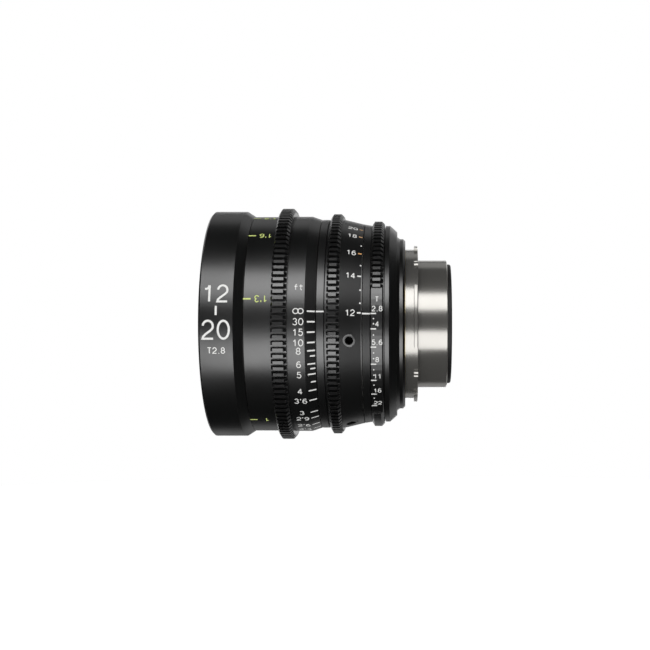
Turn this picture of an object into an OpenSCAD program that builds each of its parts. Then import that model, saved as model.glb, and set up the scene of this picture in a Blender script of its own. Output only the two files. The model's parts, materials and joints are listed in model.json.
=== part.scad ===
/* [Mount] */
// Radius of the tube that enters the camera
tube_r = 27; // [26.8:0.05:27.3]
// Length of the tube behind the flange seat
tube_length = 12.2; // [11:0.1:13]
// Wall of the tube
tube_wall = 1.7; // [1.5:0.1:1.8]
// Bevel at the end of the tube
tube_bevel = 0.4; // [0.2:0.1:0.6]
// Width of the flange disc round the tube
flange_width = 4.6; // [4.4:0.1:5]
// Distance from the flange seat to the barrel
flange_depth = 5.2; // [4.8:0.1:6]
// How far the ears stand out of the flange disc
ear_reach = 1.5; // [0.8:0.1:1.8]
// Thickness of the ears
ear_thickness = 1.5; // [1.2:0.1:1.8]
// Angle that one ear spans, in degrees
ear_angle = 45; // [35:1:50]
// Number of ears
ear_count = 4; // [3:1:4]
// Radius of the index pin notches between the ears
notch_r = 2.3; // [1.8:0.1:2.5]
// Depth of the notches below the disc's edge
notch_depth = 1.5; // [1:0.1:1.8]
// Thickness of the shim under the mount
shim_thickness = 0.1; // [0.05:0.05:0.3]

/* [Rear housing] */
// How far the housing's tail stands out of the flange disc
housing_tail_reach = 4.4; // [4:0.1:4.6]
// Height of the step behind the bevel
housing_step_height = 0.9; // [0.5:0.1:1.2]
// Width of the face between the step and the bevel
housing_face = 2; // [1.6:0.1:2.4]
// Height of the bevel behind the housing's widest part
housing_bevel_height = 2.65; // [2.4:0.05:2.8]
// Length of the housing's widest part
housing_land = 1.9; // [1:0.1:2.5]
// Length of the bevel behind it
housing_bevel = 2.9; // [2:0.1:3.2]
// Length of the housing's tail
housing_tail = 3.4; // [3.2:0.1:4]

/* [Iris ring] */
// Width of the iris ring
iris_width = 4.9; // [4.6:0.1:5.5]
// Height of the iris ring's teeth over the barrel
iris_height = 3.4; // [3.2:0.2:3.8]
// Where the teeth end above the scale, in degrees from the camera's side
iris_teeth_end = -19.4; // [-30:0.1:-15]
// Where the raised block below the scale starts, in degrees
iris_block_start = 57.5; // [50:0.1:65]
// Depth of the scale's pad below the teeth's tips
iris_pad_drop = 0.8; // [0.5:0.1:1]
// Turn of the iris ring from wide open to closed, in degrees
iris_throw = 55; // [50:1:58]

/* [Rear index ring] */
// Width of the fixed ring between iris and zoom
rear_index_width = 3.2; // [2.8:0.1:4]
// Height of its front edge over the barrel
rear_index_height = 2.1; // [1.9:0.05:2.4]
// How much lower its rear edge is
rear_index_drop = 0.5; // [0.3:0.05:0.7]

/* [Zoom ring] */
// Length of the zoom ring's cone
zoom_cone = 8.8; // [8:0.1:10]
// Height of the cone's rear end over the barrel
zoom_rear_height = 2.15; // [2:0.05:2.6]
// How much the cone rises towards the front
zoom_cone_rise = 2.05; // [1.8:0.05:2.3]
// Width of the zoom gear
zoom_gear_width = 4.9; // [4.6:0.1:5.5]
// Height of the zoom gear's teeth over the barrel
zoom_gear_height = 6.52; // [6.12:0.4:6.92]
// Width of the dark groove in front of the zoom gear
zoom_groove = 0.85; // [0.6:0.05:1.2]
// Height of that groove's bottom over the barrel
zoom_neck_height = 3; // [2.8:0.05:3.1]
// Turn of the zoom ring from the widest to the longest setting, in degrees
zoom_throw = 60; // [55:1:60]
// Radius of the thread for a zoom lever
lever_thread_r = 1.25; // [1:0.05:1.5]
// Depth of the thread below the spot face
lever_thread_depth = 1.9; // [1.5:0.1:2]
// Radius of the spot face round the thread
lever_spot_r = 2.6; // [2.2:0.1:3]
// Depth of the spot face
lever_spot_depth = 0.35; // [0.2:0.05:0.5]
// Distance from the zoom gear to the middle of the thread
lever_offset = 3.9; // [3.5:0.1:5]
// Place of the middle lever thread, in degrees from the camera's side
lever_angle = 8.9; // [4:0.1:14]

/* [Front index ring] */
// Width of the fixed ring between zoom and focus
front_index_width = 3.1; // [2.8:0.1:4]
// Height of that ring over the barrel
front_index_height = 4.1; // [3.9:0.05:4.3]

/* [Focus ring] */
// Length of the cone at the focus ring's rear
focus_cone = 4.25; // [3.5:0.05:5]
// Height of the cone's rear end over the front barrel
focus_rear_height = 2.65; // [2.4:0.05:2.9]
// How much the cone rises towards the scale's band
focus_cone_rise = 1.4; // [1.35:0.05:1.7]
// Length of the distance scale's band
focus_band = 6.95; // [6.5:0.05:8]
// Width of the focus gear
focus_gear_width = 6; // [5.5:0.1:7]
// Height of the focus gear's teeth over the front barrel
focus_gear_height = 7.4; // [7:0.4:8.2]
// Length of the focus ring in front of its gear
focus_front = 10.9; // [10.5:0.1:12]
// Wall of the focus ring in front of its gear
focus_wall = 3.9; // [3.7:0.05:4]
// Turn of the focus ring from infinity to the nearest distance, in degrees
focus_throw = 245; // [220:5:250]
// Travel of the focusing group over that turn
focus_travel = 6; // [5.5:0.1:6]

/* [Gears] */
// Module of the drive gears
gear_module = 0.8; // [0.75:0.01:0.82]
// Bevel at the front of the teeth
front_bevel = 0.8; // [0.5:0.1:1]
// Bevel at the rear of the teeth
rear_bevel = 1.1; // [0.5:0.1:1.3]

/* [Front ring] */
// How far the front ring stands out of the focus ring
front_reach = 2.2; // [1.7:0.1:2.7]
// Length of the cylinder that a matte box clamps on
front_land = 13.4; // [12.5:0.1:15]
// Length of the cone behind it
front_cone = 3.6; // [3:0.1:4]
// Bevel at the front rim
rim_bevel = 0.7; // [0.3:0.1:1]
// Width of the rim round the filter thread
front_rim = 4.5; // [4:0.1:4.9]
// Length of the filter thread
filter_depth = 4.5; // [4:0.1:4.8]
// Depth of the front glass behind the filter thread
glass_setback = 0.5; // [0.3:0.1:0.8]

/* [Barrel] */
// How far the barrel, which the rings turn on, lies below the rear housing's surface
barrel_depth = 1.55; // [1.45:0.05:1.65]
// Wall of the main barrel
barrel_wall = 2.4; // [2.3:0.05:2.5]
// Wall of the main barrel's spigot in the front barrel
spigot_wall = 1; // [0.9:0.05:1.1]
// Wall of the front barrel, inside the focus ring
front_barrel_wall = 2.8; // [2.7:0.05:2.9]
// Turn of the index lines above the camera's side, in degrees
index_angle = -5.8; // [-10:0.1:10]
// Bevel at the edges where two rings meet
edge_bevel = 0.2; // [0.1:0.05:0.3]

/* [Zoom mechanism] */
// Travel of the variator over the zoom
variator_travel = 9; // [8:0.1:9]
// Travel of the compensator over the zoom
compensator_travel = 3; // [2:0.1:3]
// Radius of the rollers that run in the cam
roller_r = 1.45; // [1.2:0.05:1.5]
// Radius of the key between zoom ring and cam tube
key_r = 1.5; // [1.2:0.05:1.5]
// Wall of the cam tube
cam_wall = 1.95; // [1.8:0.05:2]
// Wall of the guide tube
guide_wall = 1.95; // [1.8:0.05:2]

/* [Iris] */
// Number of blades
blade_count = 9; // [9:1:9]
// Radius of the opening with the blades open
iris_open_r = 14.8; // [14.5:0.1:15]
// Width of a blade
blade_width = 6.8; // [6.6:0.1:7]
// Thickness of a blade
blade_thickness = 0.12; // [0.08:0.01:0.14]
// Distance from one blade's plane to the next
blade_pitch = 0.2; // [0.18:0.01:0.2]
// Radius of the circle of pivots
pivot_circle_r = 23.2; // [23:0.1:23.4]
// Turn of a blade from open to closed, in degrees
blade_turn = 32.3; // [30:0.1:33]
// Angle that a blade's band spans, in degrees
blade_span = 120; // [115:1:122]

/* [Hidden] */
$fn = 96;

black = "#202022";
dark = "#141416";
steel = "#b5b3ac";
brass = "#c2a34f";
aluminium = "#9a9ca0";
bronze = "#8a6b3e";
white = "#e8e6df";
coated_glass = [0.55, 0.65, 0.75, 0.5];

// Clearances: turning rings and tubes, fixed seats, sliding pins, and the joints between rings
run_gap = 0.05;
seat_gap = 0.02;
pin_gap = 0.04;
ring_gap = 0.1;
// How far the round end of a milled slot stands out of the slot's sides
slot_end_relief = 0.05;
// How far a cut runs past the face that it opens
overrun = 1;

// Radii, from the tube outwards
flange_r = tube_r + flange_width;
housing_tail_r = flange_r + housing_tail_reach;
housing_step_r = housing_tail_r + housing_step_height;
housing_bevel_r = housing_step_r + housing_face;
housing_r = housing_bevel_r + housing_bevel_height;
barrel_r = housing_r - barrel_depth;
barrel_bore_r = barrel_r - barrel_wall;
front_barrel_bore_r = barrel_bore_r + spigot_wall;
front_barrel_r = front_barrel_bore_r + front_barrel_wall;
rear_index_r = barrel_r + rear_index_height;
rear_index_end_r = rear_index_r - rear_index_drop;
zoom_rear_r = barrel_r + zoom_rear_height;
zoom_front_r = zoom_rear_r + zoom_cone_rise;
zoom_neck_r = barrel_r + zoom_neck_height;
front_index_r = barrel_r + front_index_height;
focus_rear_r = front_barrel_r + focus_rear_height;
focus_band_r = focus_rear_r + focus_cone_rise;
focus_front_r = front_barrel_r + focus_wall;
front_r = focus_front_r + front_reach;
filter_r = front_r - front_rim;

// Stations along the lens axis. The flange seat is at zero and the front points to -X.
mount_front = -flange_depth;
housing_rear = mount_front - shim_thickness;
housing_front = housing_rear - housing_tail - housing_bevel - housing_land;
iris_gap = 0.4;
iris_rear = housing_front - iris_gap;
iris_front = iris_rear - iris_width;
rear_index_rear = iris_front - ring_gap;
rear_index_front = rear_index_rear - rear_index_width;
zoom_rear = rear_index_front - ring_gap;
zoom_gear_rear = zoom_rear - zoom_cone;
zoom_gear_front = zoom_gear_rear - zoom_gear_width;
zoom_front = zoom_gear_front - zoom_groove;
front_index_rear = zoom_front - ring_gap;
front_index_front = front_index_rear - front_index_width;
focus_rear = front_index_front - ring_gap;
focus_cone_front = focus_rear - focus_cone;
focus_gear_rear = focus_cone_front - focus_band;
focus_gear_front = focus_gear_rear - focus_gear_width;
focus_front_x = focus_gear_front - focus_front;
front_ring_rear = focus_front_x - ring_gap;
front_cone_front = front_ring_rear - front_cone;
front_x = front_cone_front - front_land;

// Front glass and its seats
glass_inset = 3;
glass_edge_r = filter_r - glass_inset;
glass_sag = 5.5;
glass_hollow = 6.5;
glass_edge = 3.2;
glass_front = front_x + filter_depth + glass_setback;
glass_rim_front = glass_front + glass_sag;
glass_rim_rear = glass_rim_front + glass_edge;
shoulder_width = 4.5;
shoulder_r = glass_edge_r - shoulder_width;
shoulder_thickness = 1.1;
front_barrel_front = glass_rim_rear + shoulder_thickness;
retainer_reach = 1.8;
retainer_r = glass_edge_r + retainer_reach;
retainer_bore_r = glass_edge_r - retainer_reach;
retainer_length = 2;
retainer_lift = 0.6;
retainer_rear = glass_rim_front - retainer_lift;
second_inset = 3;
second_r = glass_edge_r - second_inset;
second_edge = 1.8;
second_lift = 0.3;
second_front_sag = 2.5;
second_hollow = 3;
second_front = front_barrel_front + second_lift;
second_rear = second_front + second_edge;
ledge_width = 2;
ledge_r = second_r - ledge_width;
ledge_thickness = 0.8;
ledge_rear = second_rear + ledge_thickness;

// Focusing group, at its place for infinity
focus_cell_length = 8;
focus_cell_clear = 0.2;
focus_cell_front = ledge_rear + focus_cell_clear + focus_travel;
focus_cell_rear = focus_cell_front + focus_cell_length;
focus_cell_r = front_barrel_bore_r - run_gap;
focus_cell_wall = 5.05;
focus_lens_r = focus_cell_r - focus_cell_wall;
focus_front_edge = 2.4;
focus_rear_edge = 2.4;
focus_front_hollow = 1;
focus_middle_hollow = 0.4;
focus_rear_bulge = 0.5;
focus_rear_sag = 0.9;
focus_lens_inset = 0.4;
focus_rib = 1;
focus_rib_depth = 2;
focus_front_lens = focus_cell_front + focus_lens_inset;
focus_rib_front = focus_front_lens + focus_front_edge + seat_gap;
focus_rear_lens = focus_rib_front + focus_rib + seat_gap
    + bulge_at(focus_lens_r - focus_rib_depth, focus_lens_r, focus_rear_bulge);
focus_retainer_length = 1;
focus_retainer_lift = 0.15;
follower_r = 0.9;
follower_setback = 4.5;
follower_x = focus_cell_front + follower_setback;
follower_seat_depth = 2.05;
follower_foot_r = focus_cell_r - follower_seat_depth;
follower_tip_gap = 0.15;
focus_bore_r = front_barrel_r + run_gap;
helix_depth = 1.15;
helix_steps = 60;
follower_count = 3;
follower_angle = 30;
stop_pin_r = 1.2;
stop_pin_x = focus_cone_front - stop_pin_r;
stop_groove_depth = 1.2;
stop_angle = 0;
stop_pin_reach = 2.6;
stop_pin_seat_r = front_barrel_r + stop_pin_reach;

// Barrels
barrel_spigot = 5;
barrel_front = front_index_front - barrel_spigot;
barrel_shoulder = front_index_front;
barrel_tail_depth = 1.6;
barrel_tail_r = barrel_r - barrel_tail_depth;
barrel_step = housing_front - ring_gap;
housing_wall = 1.2;
housing_wall_front = housing_rear - housing_tail - housing_wall;
barrel_flange_rear = housing_wall_front - ring_gap;
barrel_flange = 1.6;
barrel_flange_front = barrel_flange_rear - barrel_flange;
barrel_flange_clear = 1;
barrel_flange_r = tube_r + barrel_flange_clear;
ring_bore_r = barrel_r + run_gap;
ring_relief = 0.5;
ring_land = 2.5;
washer_width = 0.8;
washer_thickness = 0.4;
index_seat_r = barrel_r + seat_gap;

// Zoom tubes and groups, at their places for the widest setting
cam_r = barrel_bore_r - run_gap;
cam_bore_r = cam_r - cam_wall;
guide_r = cam_bore_r - run_gap;
guide_bore_r = guide_r - guide_wall;
group_r = guide_bore_r - run_gap;
guide_flange = 0.9;
cam_inset = 0.6;
cam_rear = rear_index_front + cam_inset;
guide_flange_front = cam_rear + ring_gap;
guide_rear = guide_flange_front + guide_flange;
guide_front_clear = 1.5;
guide_front = focus_cell_rear + guide_front_clear;
cam_setback = 1;
cam_front = guide_front + cam_setback;
compensator_length = 6.5;
compensator_rear_clear = 3;
compensator_rear = guide_rear - compensator_rear_clear;
compensator_front = compensator_rear - compensator_length;
variator_length = 7.5;
group_clear = 1;
variator_front = compensator_front - compensator_travel - group_clear - variator_travel - variator_length;
variator_rear = variator_front + variator_length;
variator_roller_setback = 4;
variator_roller_x = variator_front + variator_roller_setback;
compensator_roller_setback = 3.5;
compensator_roller_x = compensator_front + compensator_roller_setback;
roller_count = 3;
roller_angle = 30;
roller_seat_depth = 2.05;
roller_foot_r = group_r - roller_seat_depth;
roller_tip_gap = 0.15;
key_x = (variator_roller_x + variator_travel + compensator_roller_x - compensator_travel) / 2;
key_foot_wall = 0.6;
key_foot_r = cam_bore_r + key_foot_wall;
key_reach = 2.4;
key_tip_r = barrel_r + key_reach;
key_angle = 200;
slot_steps = 24;

variator_wall = 5.05;
variator_lens_r = group_r - variator_wall;
variator_front_edge = 1.6;
variator_rear_edge = 2.4;
variator_front_hollow = 0.4;
variator_middle_hollow = 0.3;
variator_rear_bulge = 0.4;
variator_rear_hollow = 1;
variator_inset = 0.4;
variator_rib = 1.2;
variator_rib_depth = 1.5;
variator_front_lens = variator_front + variator_inset;
variator_rib_front = variator_front_lens + variator_front_edge + seat_gap;
variator_rear_lens = variator_rib_front + variator_rib + seat_gap
    + bulge_at(variator_lens_r - variator_rib_depth, variator_lens_r, variator_rear_bulge);
variator_retainer_length = 1;
compensator_wall = 9.55;
compensator_lens_r = group_r - compensator_wall;
compensator_edge = 3.6;
compensator_front_sag = 1.6;
compensator_rear_sag = 1;
compensator_ledge = 0.8;
compensator_ledge_depth = 1.2;
compensator_lens = compensator_front + compensator_ledge + seat_gap
    + bulge_at(compensator_lens_r - compensator_ledge_depth, compensator_lens_r, compensator_front_sag);
compensator_retainer_length = 1;
compensator_retainer_lift = 0.15;
compensator_seat_wall = 2.5;
compensator_relief_r = compensator_lens_r + compensator_seat_wall;
compensator_rim_wall = 3.05;
compensator_relief_outer_r = group_r - compensator_rim_wall;
compensator_relief_depth = 2.2;

// Iris unit
iris_unit_front = guide_rear + ring_gap;
iris_unit_r = barrel_bore_r - run_gap;
iris_unit_wall = 0.95;
iris_unit_bore_r = iris_unit_r - iris_unit_wall;
iris_plate = 1.3;
iris_plate_lip = 0.4;
iris_plate_bore_r = iris_open_r + iris_plate_lip;
first_blade = iris_unit_front + iris_plate + ring_gap;
drive_front = first_blade + blade_count * blade_pitch + ring_gap;
drive_web = 1.2;
drive_rear = drive_front + drive_web;
drive_rim_width = 5.55;
drive_rim = 2.4;
drive_r = iris_unit_bore_r - run_gap;
drive_rim_r = drive_r - drive_rim_width;
cover_front = drive_rear + ring_gap;
cover_thickness = 1.2;
iris_unit_rear = cover_front + cover_thickness + ring_gap;
pivot_r = 0.7;
stud_r = 0.6;
stud_offset = 0.7;
stud_circle_r = pivot_circle_r + stud_offset;
stud_angle = 15.5;
stud_gap = 0.06;
blade_tail_reach = 1.8;
blade_tail_r = pivot_circle_r + blade_tail_reach;
blade_tail_start = -5;
blade_tail_end = 19.5;
blade_root = -6;
blade_first_angle = 90;
iris_pin_r = 0.8;
iris_pin_x = drive_rear - drive_rim / 2;
iris_pin_seat_depth = 2.55;
iris_pin_foot_r = drive_r - iris_pin_seat_depth;
iris_pin_reach = 1.1;
iris_pin_tip_r = barrel_r + iris_pin_reach;
iris_pin_angle = 100;

// Rear group
cell_r = tube_r - tube_wall - run_gap;
cell_body_r = barrel_flange_r - ring_gap;
cell_overhang = 1.6;
cell_rear = tube_length + cell_overhang;
cell_step = housing_rear - ring_gap;
cell_flange_width = 5;
cell_flange_r = barrel_flange_r + cell_flange_width;
cell_flange_rear = barrel_flange_front - ring_gap;
cell_flange = 1.8;
cell_flange_front = cell_flange_rear - cell_flange;
cell_front = cell_flange_front - ring_gap;
rear_front_wall = 3.25;
rear_front_r = cell_r - rear_front_wall;
rear_front_edge = 3;
rear_front_sag = 0.7;
rear_front_rear_sag = 0.8;
rear_front_inset = 0.4;
rear_front_lens = cell_front + rear_front_inset;
rear_rib = 2;
rear_cell_wall = 3.85;
rear_doublet_r = cell_r - rear_cell_wall;
rear_rib_depth = 1.9;
rear_rib_r = rear_doublet_r - rear_rib_depth;
rear_rib_front = rear_front_lens + rear_front_edge + bulge_at(rear_rib_r, rear_front_r, rear_front_rear_sag);
rear_doublet_edge = 6;
rear_doublet_hollow = 1.5;
rear_doublet_sag = 1.8;
rear_doublet_front = mount_front + rear_rib;
rear_spacer_lift = 0.35;
rear_last_edge = 3.4;
rear_last_hollow = 1.2;
rear_last_sag = 1.6;
rear_last_inset = 3.4;
rear_last_rear = cell_rear - rear_last_inset;
rear_last_front = rear_last_rear - rear_last_edge;
rear_thread_wall = 2.65;
rear_retainer_r = cell_r - rear_thread_wall;
rear_retainer_width = 3;
rear_retainer_bore_r = rear_retainer_r - rear_retainer_width;
rear_retainer_length = 1.8;
rear_retainer_lift = 0.35;
rear_retainer_bevel = 0.9;
cell_edge = 0.4;

// Fasteners
mount_screw_circle_r = tube_r + flange_width / 2;
mount_screw_head_r = 1.75;
mount_screw_head = 1;
mount_screw_r = 0.8;
mount_screw_length = 7.6;
housing_screw_offset = 1.1;
housing_screw_circle_r = mount_screw_circle_r + housing_screw_offset;
housing_screw_head_r = 1.6;
housing_screw_head = 1.3;
housing_screw_r = 0.8;
housing_screw_length = 6.1;
housing_rim_bevel = 0.9;
housing_step = 1.2;
cell_screw_offset = 1.3;
cell_screw_circle_r = mount_screw_circle_r + cell_screw_offset;
cell_screw_head_r = 1.5;
cell_screw_head = 0.8;
cell_screw_r = 0.7;
cell_screw_length = 2.4;
hex_r = 0.8;
hex_depth = 0.7;
screw_count = 4;
cell_screw_count = 3;

// Gear blanks
tooth_height_share = 2.25;
tooth_height = tooth_height_share * gear_module;
tooth_tip_share = 0.24;
tooth_root_share = 0.3;
zoom_shift = 0.12;
iris_shift = 0.2;
focus_teeth = round(2 * (front_barrel_r + focus_gear_height) / gear_module) - 2;
zoom_teeth = round(2 * (barrel_r + zoom_gear_height - zoom_shift) / gear_module) - 2;
iris_teeth = round(2 * (barrel_r + iris_height - iris_shift) / gear_module) - 2;
focus_tip_r = gear_module * (focus_teeth + 2) / 2;
zoom_tip_r = gear_module * (zoom_teeth + 2) / 2 + zoom_shift;
iris_tip_r = gear_module * (iris_teeth + 2) / 2 + iris_shift;
bevel_drop = 1.2;
iris_block_span = 62;
pad_steps = 24;
seat_bevel = 0.15;
lever_x = zoom_gear_rear + lever_offset;
lever_step = 63.1;
lever_angles = [lever_angle, lever_angle + lever_step, lever_angle + lever_step + 180];
lever_face_r = zoom_front_r - (zoom_front_r - zoom_rear_r) * lever_offset / zoom_cone - lever_spot_depth;
stud_step = 0.01;
blade_overlap = 0.8;

function radial_point(angle, r, x) = [x, -r * cos(angle), -r * sin(angle)];
function flat_point(angle, r) = [r * cos(angle), r * sin(angle)];

// Sagitta of a surface at radius r, for a bulge of height sag over the rim
function curve_r(rim, sag) = (rim * rim + sag * sag) / (2 * abs(sag));
function sag_at(r, rim, sag) = sign(sag) * (curve_r(rim, sag) - sqrt(pow(curve_r(rim, sag), 2) - r * r));

// How far such a surface stands out of its rim's plane at radius r
function bulge_at(r, rim, sag) = sag - sag_at(r, rim, sag);

// Points of a glass surface from the axis to the rim. side is -1 at the front and 1 at the rear.
curve_steps = 14;
function glass_face(rim, rim_x, sag, side) = [
    for (i = [0:curve_steps])
        let (r = rim * i / curve_steps)
        [r, rim_x + side * (sag - sag_at(r, rim, sag))]
];

// Reversed copy of a list
function reversed(list) = [for (i = [len(list) - 1:-1:0]) list[i]];

// Turns a local Z axis into the lens axis
module along_axis() {
    rotate([0, 90, 0]) children();
}

// A turned piece. Outline points are [radius, place along the axis].
module turned(outline) {
    along_axis() rotate_extrude() polygon(outline);
}

// A plain ring
module ring(outer_r, inner_r, front, rear) {
    turned([[inner_r, front], [outer_r, front], [outer_r, rear], [inner_r, rear]]);
}

// A turned piece that spans only some degrees. Zero is the camera's side and 90 is below.
module sector(outline, from, to) {
    along_axis() rotate([0, 0, from - 90]) rotate_extrude(angle = to - from) polygon(outline);
}

// Places what is modelled on the camera's side at an angle round the axis
module at_angle(angle) {
    rotate([angle, 0, 0]) children();
}

// A cylinder that points outwards on the camera's side
module radial_pin(x, from_r, to_r, r) {
    translate([x, -from_r, 0]) rotate([90, 0, 0]) cylinder(r = r, h = to_r - from_r);
}

// A cylinder parallel to the lens axis
module axial_pin(angle, circle_r, front, rear, r) {
    translate(radial_point(angle, circle_r, front)) along_axis() cylinder(r = r, h = rear - front);
}

// Straight slots along the axis for the pins of a group that slides
module guide_slots(count, first_angle, from_x, to_x, from_r, to_r, r) {
    for (i = [0:count - 1]) at_angle(first_angle + 360 * i / count) {
        radial_pin(from_x, from_r, to_r, r);
        radial_pin(to_x, from_r, to_r, r);
        translate([from_x, -to_r, -r]) cube([to_x - from_x, to_r - from_r, 2 * r]);
    }
}

// A slot round the axis
module turning_slot(x, from, to, from_r, to_r, r) {
    at_angle(from) radial_pin(x, from_r, to_r, r + slot_end_relief);
    at_angle(to) radial_pin(x, from_r, to_r, r + slot_end_relief);
    sector([[from_r, x - r], [to_r, x - r], [to_r, x + r], [from_r, x + r]], from, to);
}

// A helical slot or groove that follows a pin, from one place to another
module cam_slot(from, turn, from_x, rise, from_r, to_r, r, steps) {
    middle_r = (from_r + to_r) / 2;
    arc = turn * PI / 180 * middle_r;
    path = sqrt(arc * arc + rise * rise);
    side_angle = -rise / path * r / middle_r * 180 / PI;
    side_x = arc / path * r;
    points = [
        for (i = [0:steps])
            let (angle = from + turn * i / steps, x = from_x + rise * i / steps)
            for (corner = [[-1, from_r], [1, from_r], [1, to_r], [-1, to_r]])
                radial_point(angle + corner[0] * side_angle, corner[1], x + corner[0] * side_x)
    ];
    last = 4 * steps;
    walls = [
        for (i = [0:steps - 1])
            for (j = [0:3])
                let (a = 4 * i + j, b = 4 * i + (j + 1) % 4, c = b + 4, d = a + 4)
                for (face = [[a, c, b], [a, d, c]]) face
    ];
    ends = [[0, 1, 2], [0, 2, 3], [last, last + 2, last + 1], [last, last + 3, last + 2]];
    polyhedron(points, concat(walls, ends));
    at_angle(from) radial_pin(from_x, from_r, to_r + slot_end_relief, r + slot_end_relief);
    at_angle(from + turn) radial_pin(from_x + rise, from_r, to_r + slot_end_relief, r + slot_end_relief);
}

// A glass element between two rim planes. A sag above zero bulges out and one below zero is hollow.
module element(rim_r, front, edge, front_sag, rear_sag) {
    front_face = glass_face(rim_r, front, front_sag, -1);
    rear_face = glass_face(rim_r, front + edge, rear_sag, 1);
    color(coated_glass) turned(concat(front_face, reversed(rear_face)));
}

// Outline of a gear before its teeth are cut
function gear_blank(tip_r, bore_r, front, rear) = [
    [bore_r, front], [tip_r - bevel_drop, front], [tip_r, front + front_bevel],
    [tip_r, rear - rear_bevel], [tip_r - bevel_drop, rear], [bore_r, rear]
];

// Teeth round part of a circle, as outline points from one angle to the next
function teeth_points(teeth, tip_r, first, last) =
    let (pitch = 360 / teeth, tip_half = tooth_tip_share * pitch, root_half = tooth_root_share * pitch)
    [
        for (i = [first:last])
            for (corner = [
                [-root_half, -tooth_height], [-tip_half, 0], [tip_half, 0], [root_half, -tooth_height]
            ])
                flat_point(i * pitch + corner[0], tip_r + corner[1])
    ];

// A gear ring that slips over a seat, with bevelled teeth
module gear_ring(teeth, tip_r, bore_r, front, rear) {
    intersection() {
        translate([front, 0, 0]) along_axis() linear_extrude(rear - front)
            polygon(teeth_points(teeth, tip_r, 0, teeth - 1));
        turned(gear_blank(tip_r, bore_r, front, rear));
    }
}

// Hexagon socket at the rear of a screw
module hex_socket(angle, circle_r, head_rear) {
    translate(radial_point(angle, circle_r, head_rear - hex_depth))
        along_axis() cylinder(r = hex_r, h = hex_depth + overrun, $fn = 6);
}

module pl_mount() {
    bore = cell_r + run_gap;
    ear_front = -ear_thickness - seat_bevel;
    color(steel) difference() {
        union() {
            turned([
                [bore, mount_front], [flange_r, mount_front], [flange_r, -seat_bevel],
                [flange_r - seat_bevel, 0], [tube_r, 0], [tube_r, tube_length - tube_bevel],
                [tube_r - tube_bevel, tube_length], [bore, tube_length]
            ]);
            for (i = [0:ear_count - 1]) {
                middle = index_angle + 360 * i / ear_count;
                sector([
                    [flange_r - ear_reach, ear_front], [flange_r + ear_reach - seat_bevel, ear_front],
                    [flange_r + ear_reach, ear_front + seat_bevel], [flange_r + ear_reach, -2 * seat_bevel],
                    [flange_r + ear_reach - seat_bevel, -seat_bevel], [flange_r - ear_reach, -seat_bevel]
                ], middle - ear_angle / 2, middle + ear_angle / 2);
            }
        }
        for (i = [0:ear_count - 1])
            axial_pin(index_angle + 360 * (i + 0.5) / ear_count, flange_r - notch_depth + notch_r, ear_front,
                overrun, notch_r);
        for (i = [0:screw_count - 1]) mount_screw_hole(index_angle + 360 * i / screw_count);
    }
}

// Countersunk hole for a mount screw
module mount_screw_hole(angle) {
    shank = mount_screw_r + pin_gap;
    head = mount_screw_head_r + pin_gap;
    translate(radial_point(angle, mount_screw_circle_r, 0)) along_axis() rotate_extrude() polygon([
        [0, mount_front - overrun], [shank, mount_front - overrun], [shank, -mount_screw_head],
        [head, -seat_gap], [head, overrun], [0, overrun]
    ]);
}

module mount_screws() {
    color(steel) for (i = [0:screw_count - 1]) {
        angle = index_angle + 360 * i / screw_count;
        difference() {
            translate(radial_point(angle, mount_screw_circle_r, 0)) along_axis() rotate_extrude() polygon([
                [0, -mount_screw_length], [mount_screw_r, -mount_screw_length],
                [mount_screw_r, -mount_screw_head - seat_gap], [mount_screw_head_r, -2 * seat_gap],
                [0, -2 * seat_gap]
            ]);
            hex_socket(angle, mount_screw_circle_r, 0);
        }
    }
}

module mount_shim() {
    color(brass) difference() {
        ring(flange_r - seat_bevel, cell_r + run_gap, housing_rear, mount_front);
        for (i = [0:screw_count - 1])
            axial_pin(index_angle + 360 * i / screw_count, mount_screw_circle_r, housing_rear - overrun,
                mount_front + overrun, mount_screw_r + pin_gap);
    }
}

module rear_housing() {
    land_rear = housing_front + housing_land;
    bevel_rear = land_rear + housing_bevel;
    skirt_bore = barrel_tail_r + run_gap;
    color(black) difference() {
        turned([
            [skirt_bore, housing_front], [housing_r - edge_bevel, housing_front],
            [housing_r, housing_front + edge_bevel], [housing_r, land_rear],
            [housing_bevel_r, bevel_rear], [housing_step_r, bevel_rear],
            [housing_tail_r, bevel_rear + housing_step], [housing_tail_r, housing_rear - housing_rim_bevel],
            [housing_tail_r - housing_rim_bevel, housing_rear], [barrel_flange_r, housing_rear],
            [barrel_flange_r, housing_wall_front], [skirt_bore, housing_wall_front]
        ]);
        for (i = [0:screw_count - 1]) {
            mount_angle = index_angle + 360 * i / screw_count;
            own_angle = mount_angle + 180 / screw_count;
            axial_pin(mount_angle, mount_screw_circle_r, housing_wall_front - overrun, housing_rear + overrun,
                mount_screw_r + seat_gap);
            axial_pin(own_angle, housing_screw_circle_r, housing_wall_front - overrun, housing_rear + overrun,
                housing_screw_r + pin_gap);
            axial_pin(own_angle, housing_screw_circle_r, housing_rear - housing_screw_head - seat_gap,
                housing_rear + overrun, housing_screw_head_r + pin_gap);
        }
    }
}

module housing_screws() {
    head_rear = housing_rear - seat_gap;
    color(steel) for (i = [0:screw_count - 1]) {
        angle = index_angle + 360 * (i + 0.5) / screw_count;
        difference() {
            union() {
                axial_pin(angle, housing_screw_circle_r, head_rear - housing_screw_head, head_rear,
                    housing_screw_head_r);
                axial_pin(angle, housing_screw_circle_r, head_rear - housing_screw_length, head_rear,
                    housing_screw_r);
            }
            hex_socket(angle, housing_screw_circle_r, head_rear);
        }
    }
}

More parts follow.
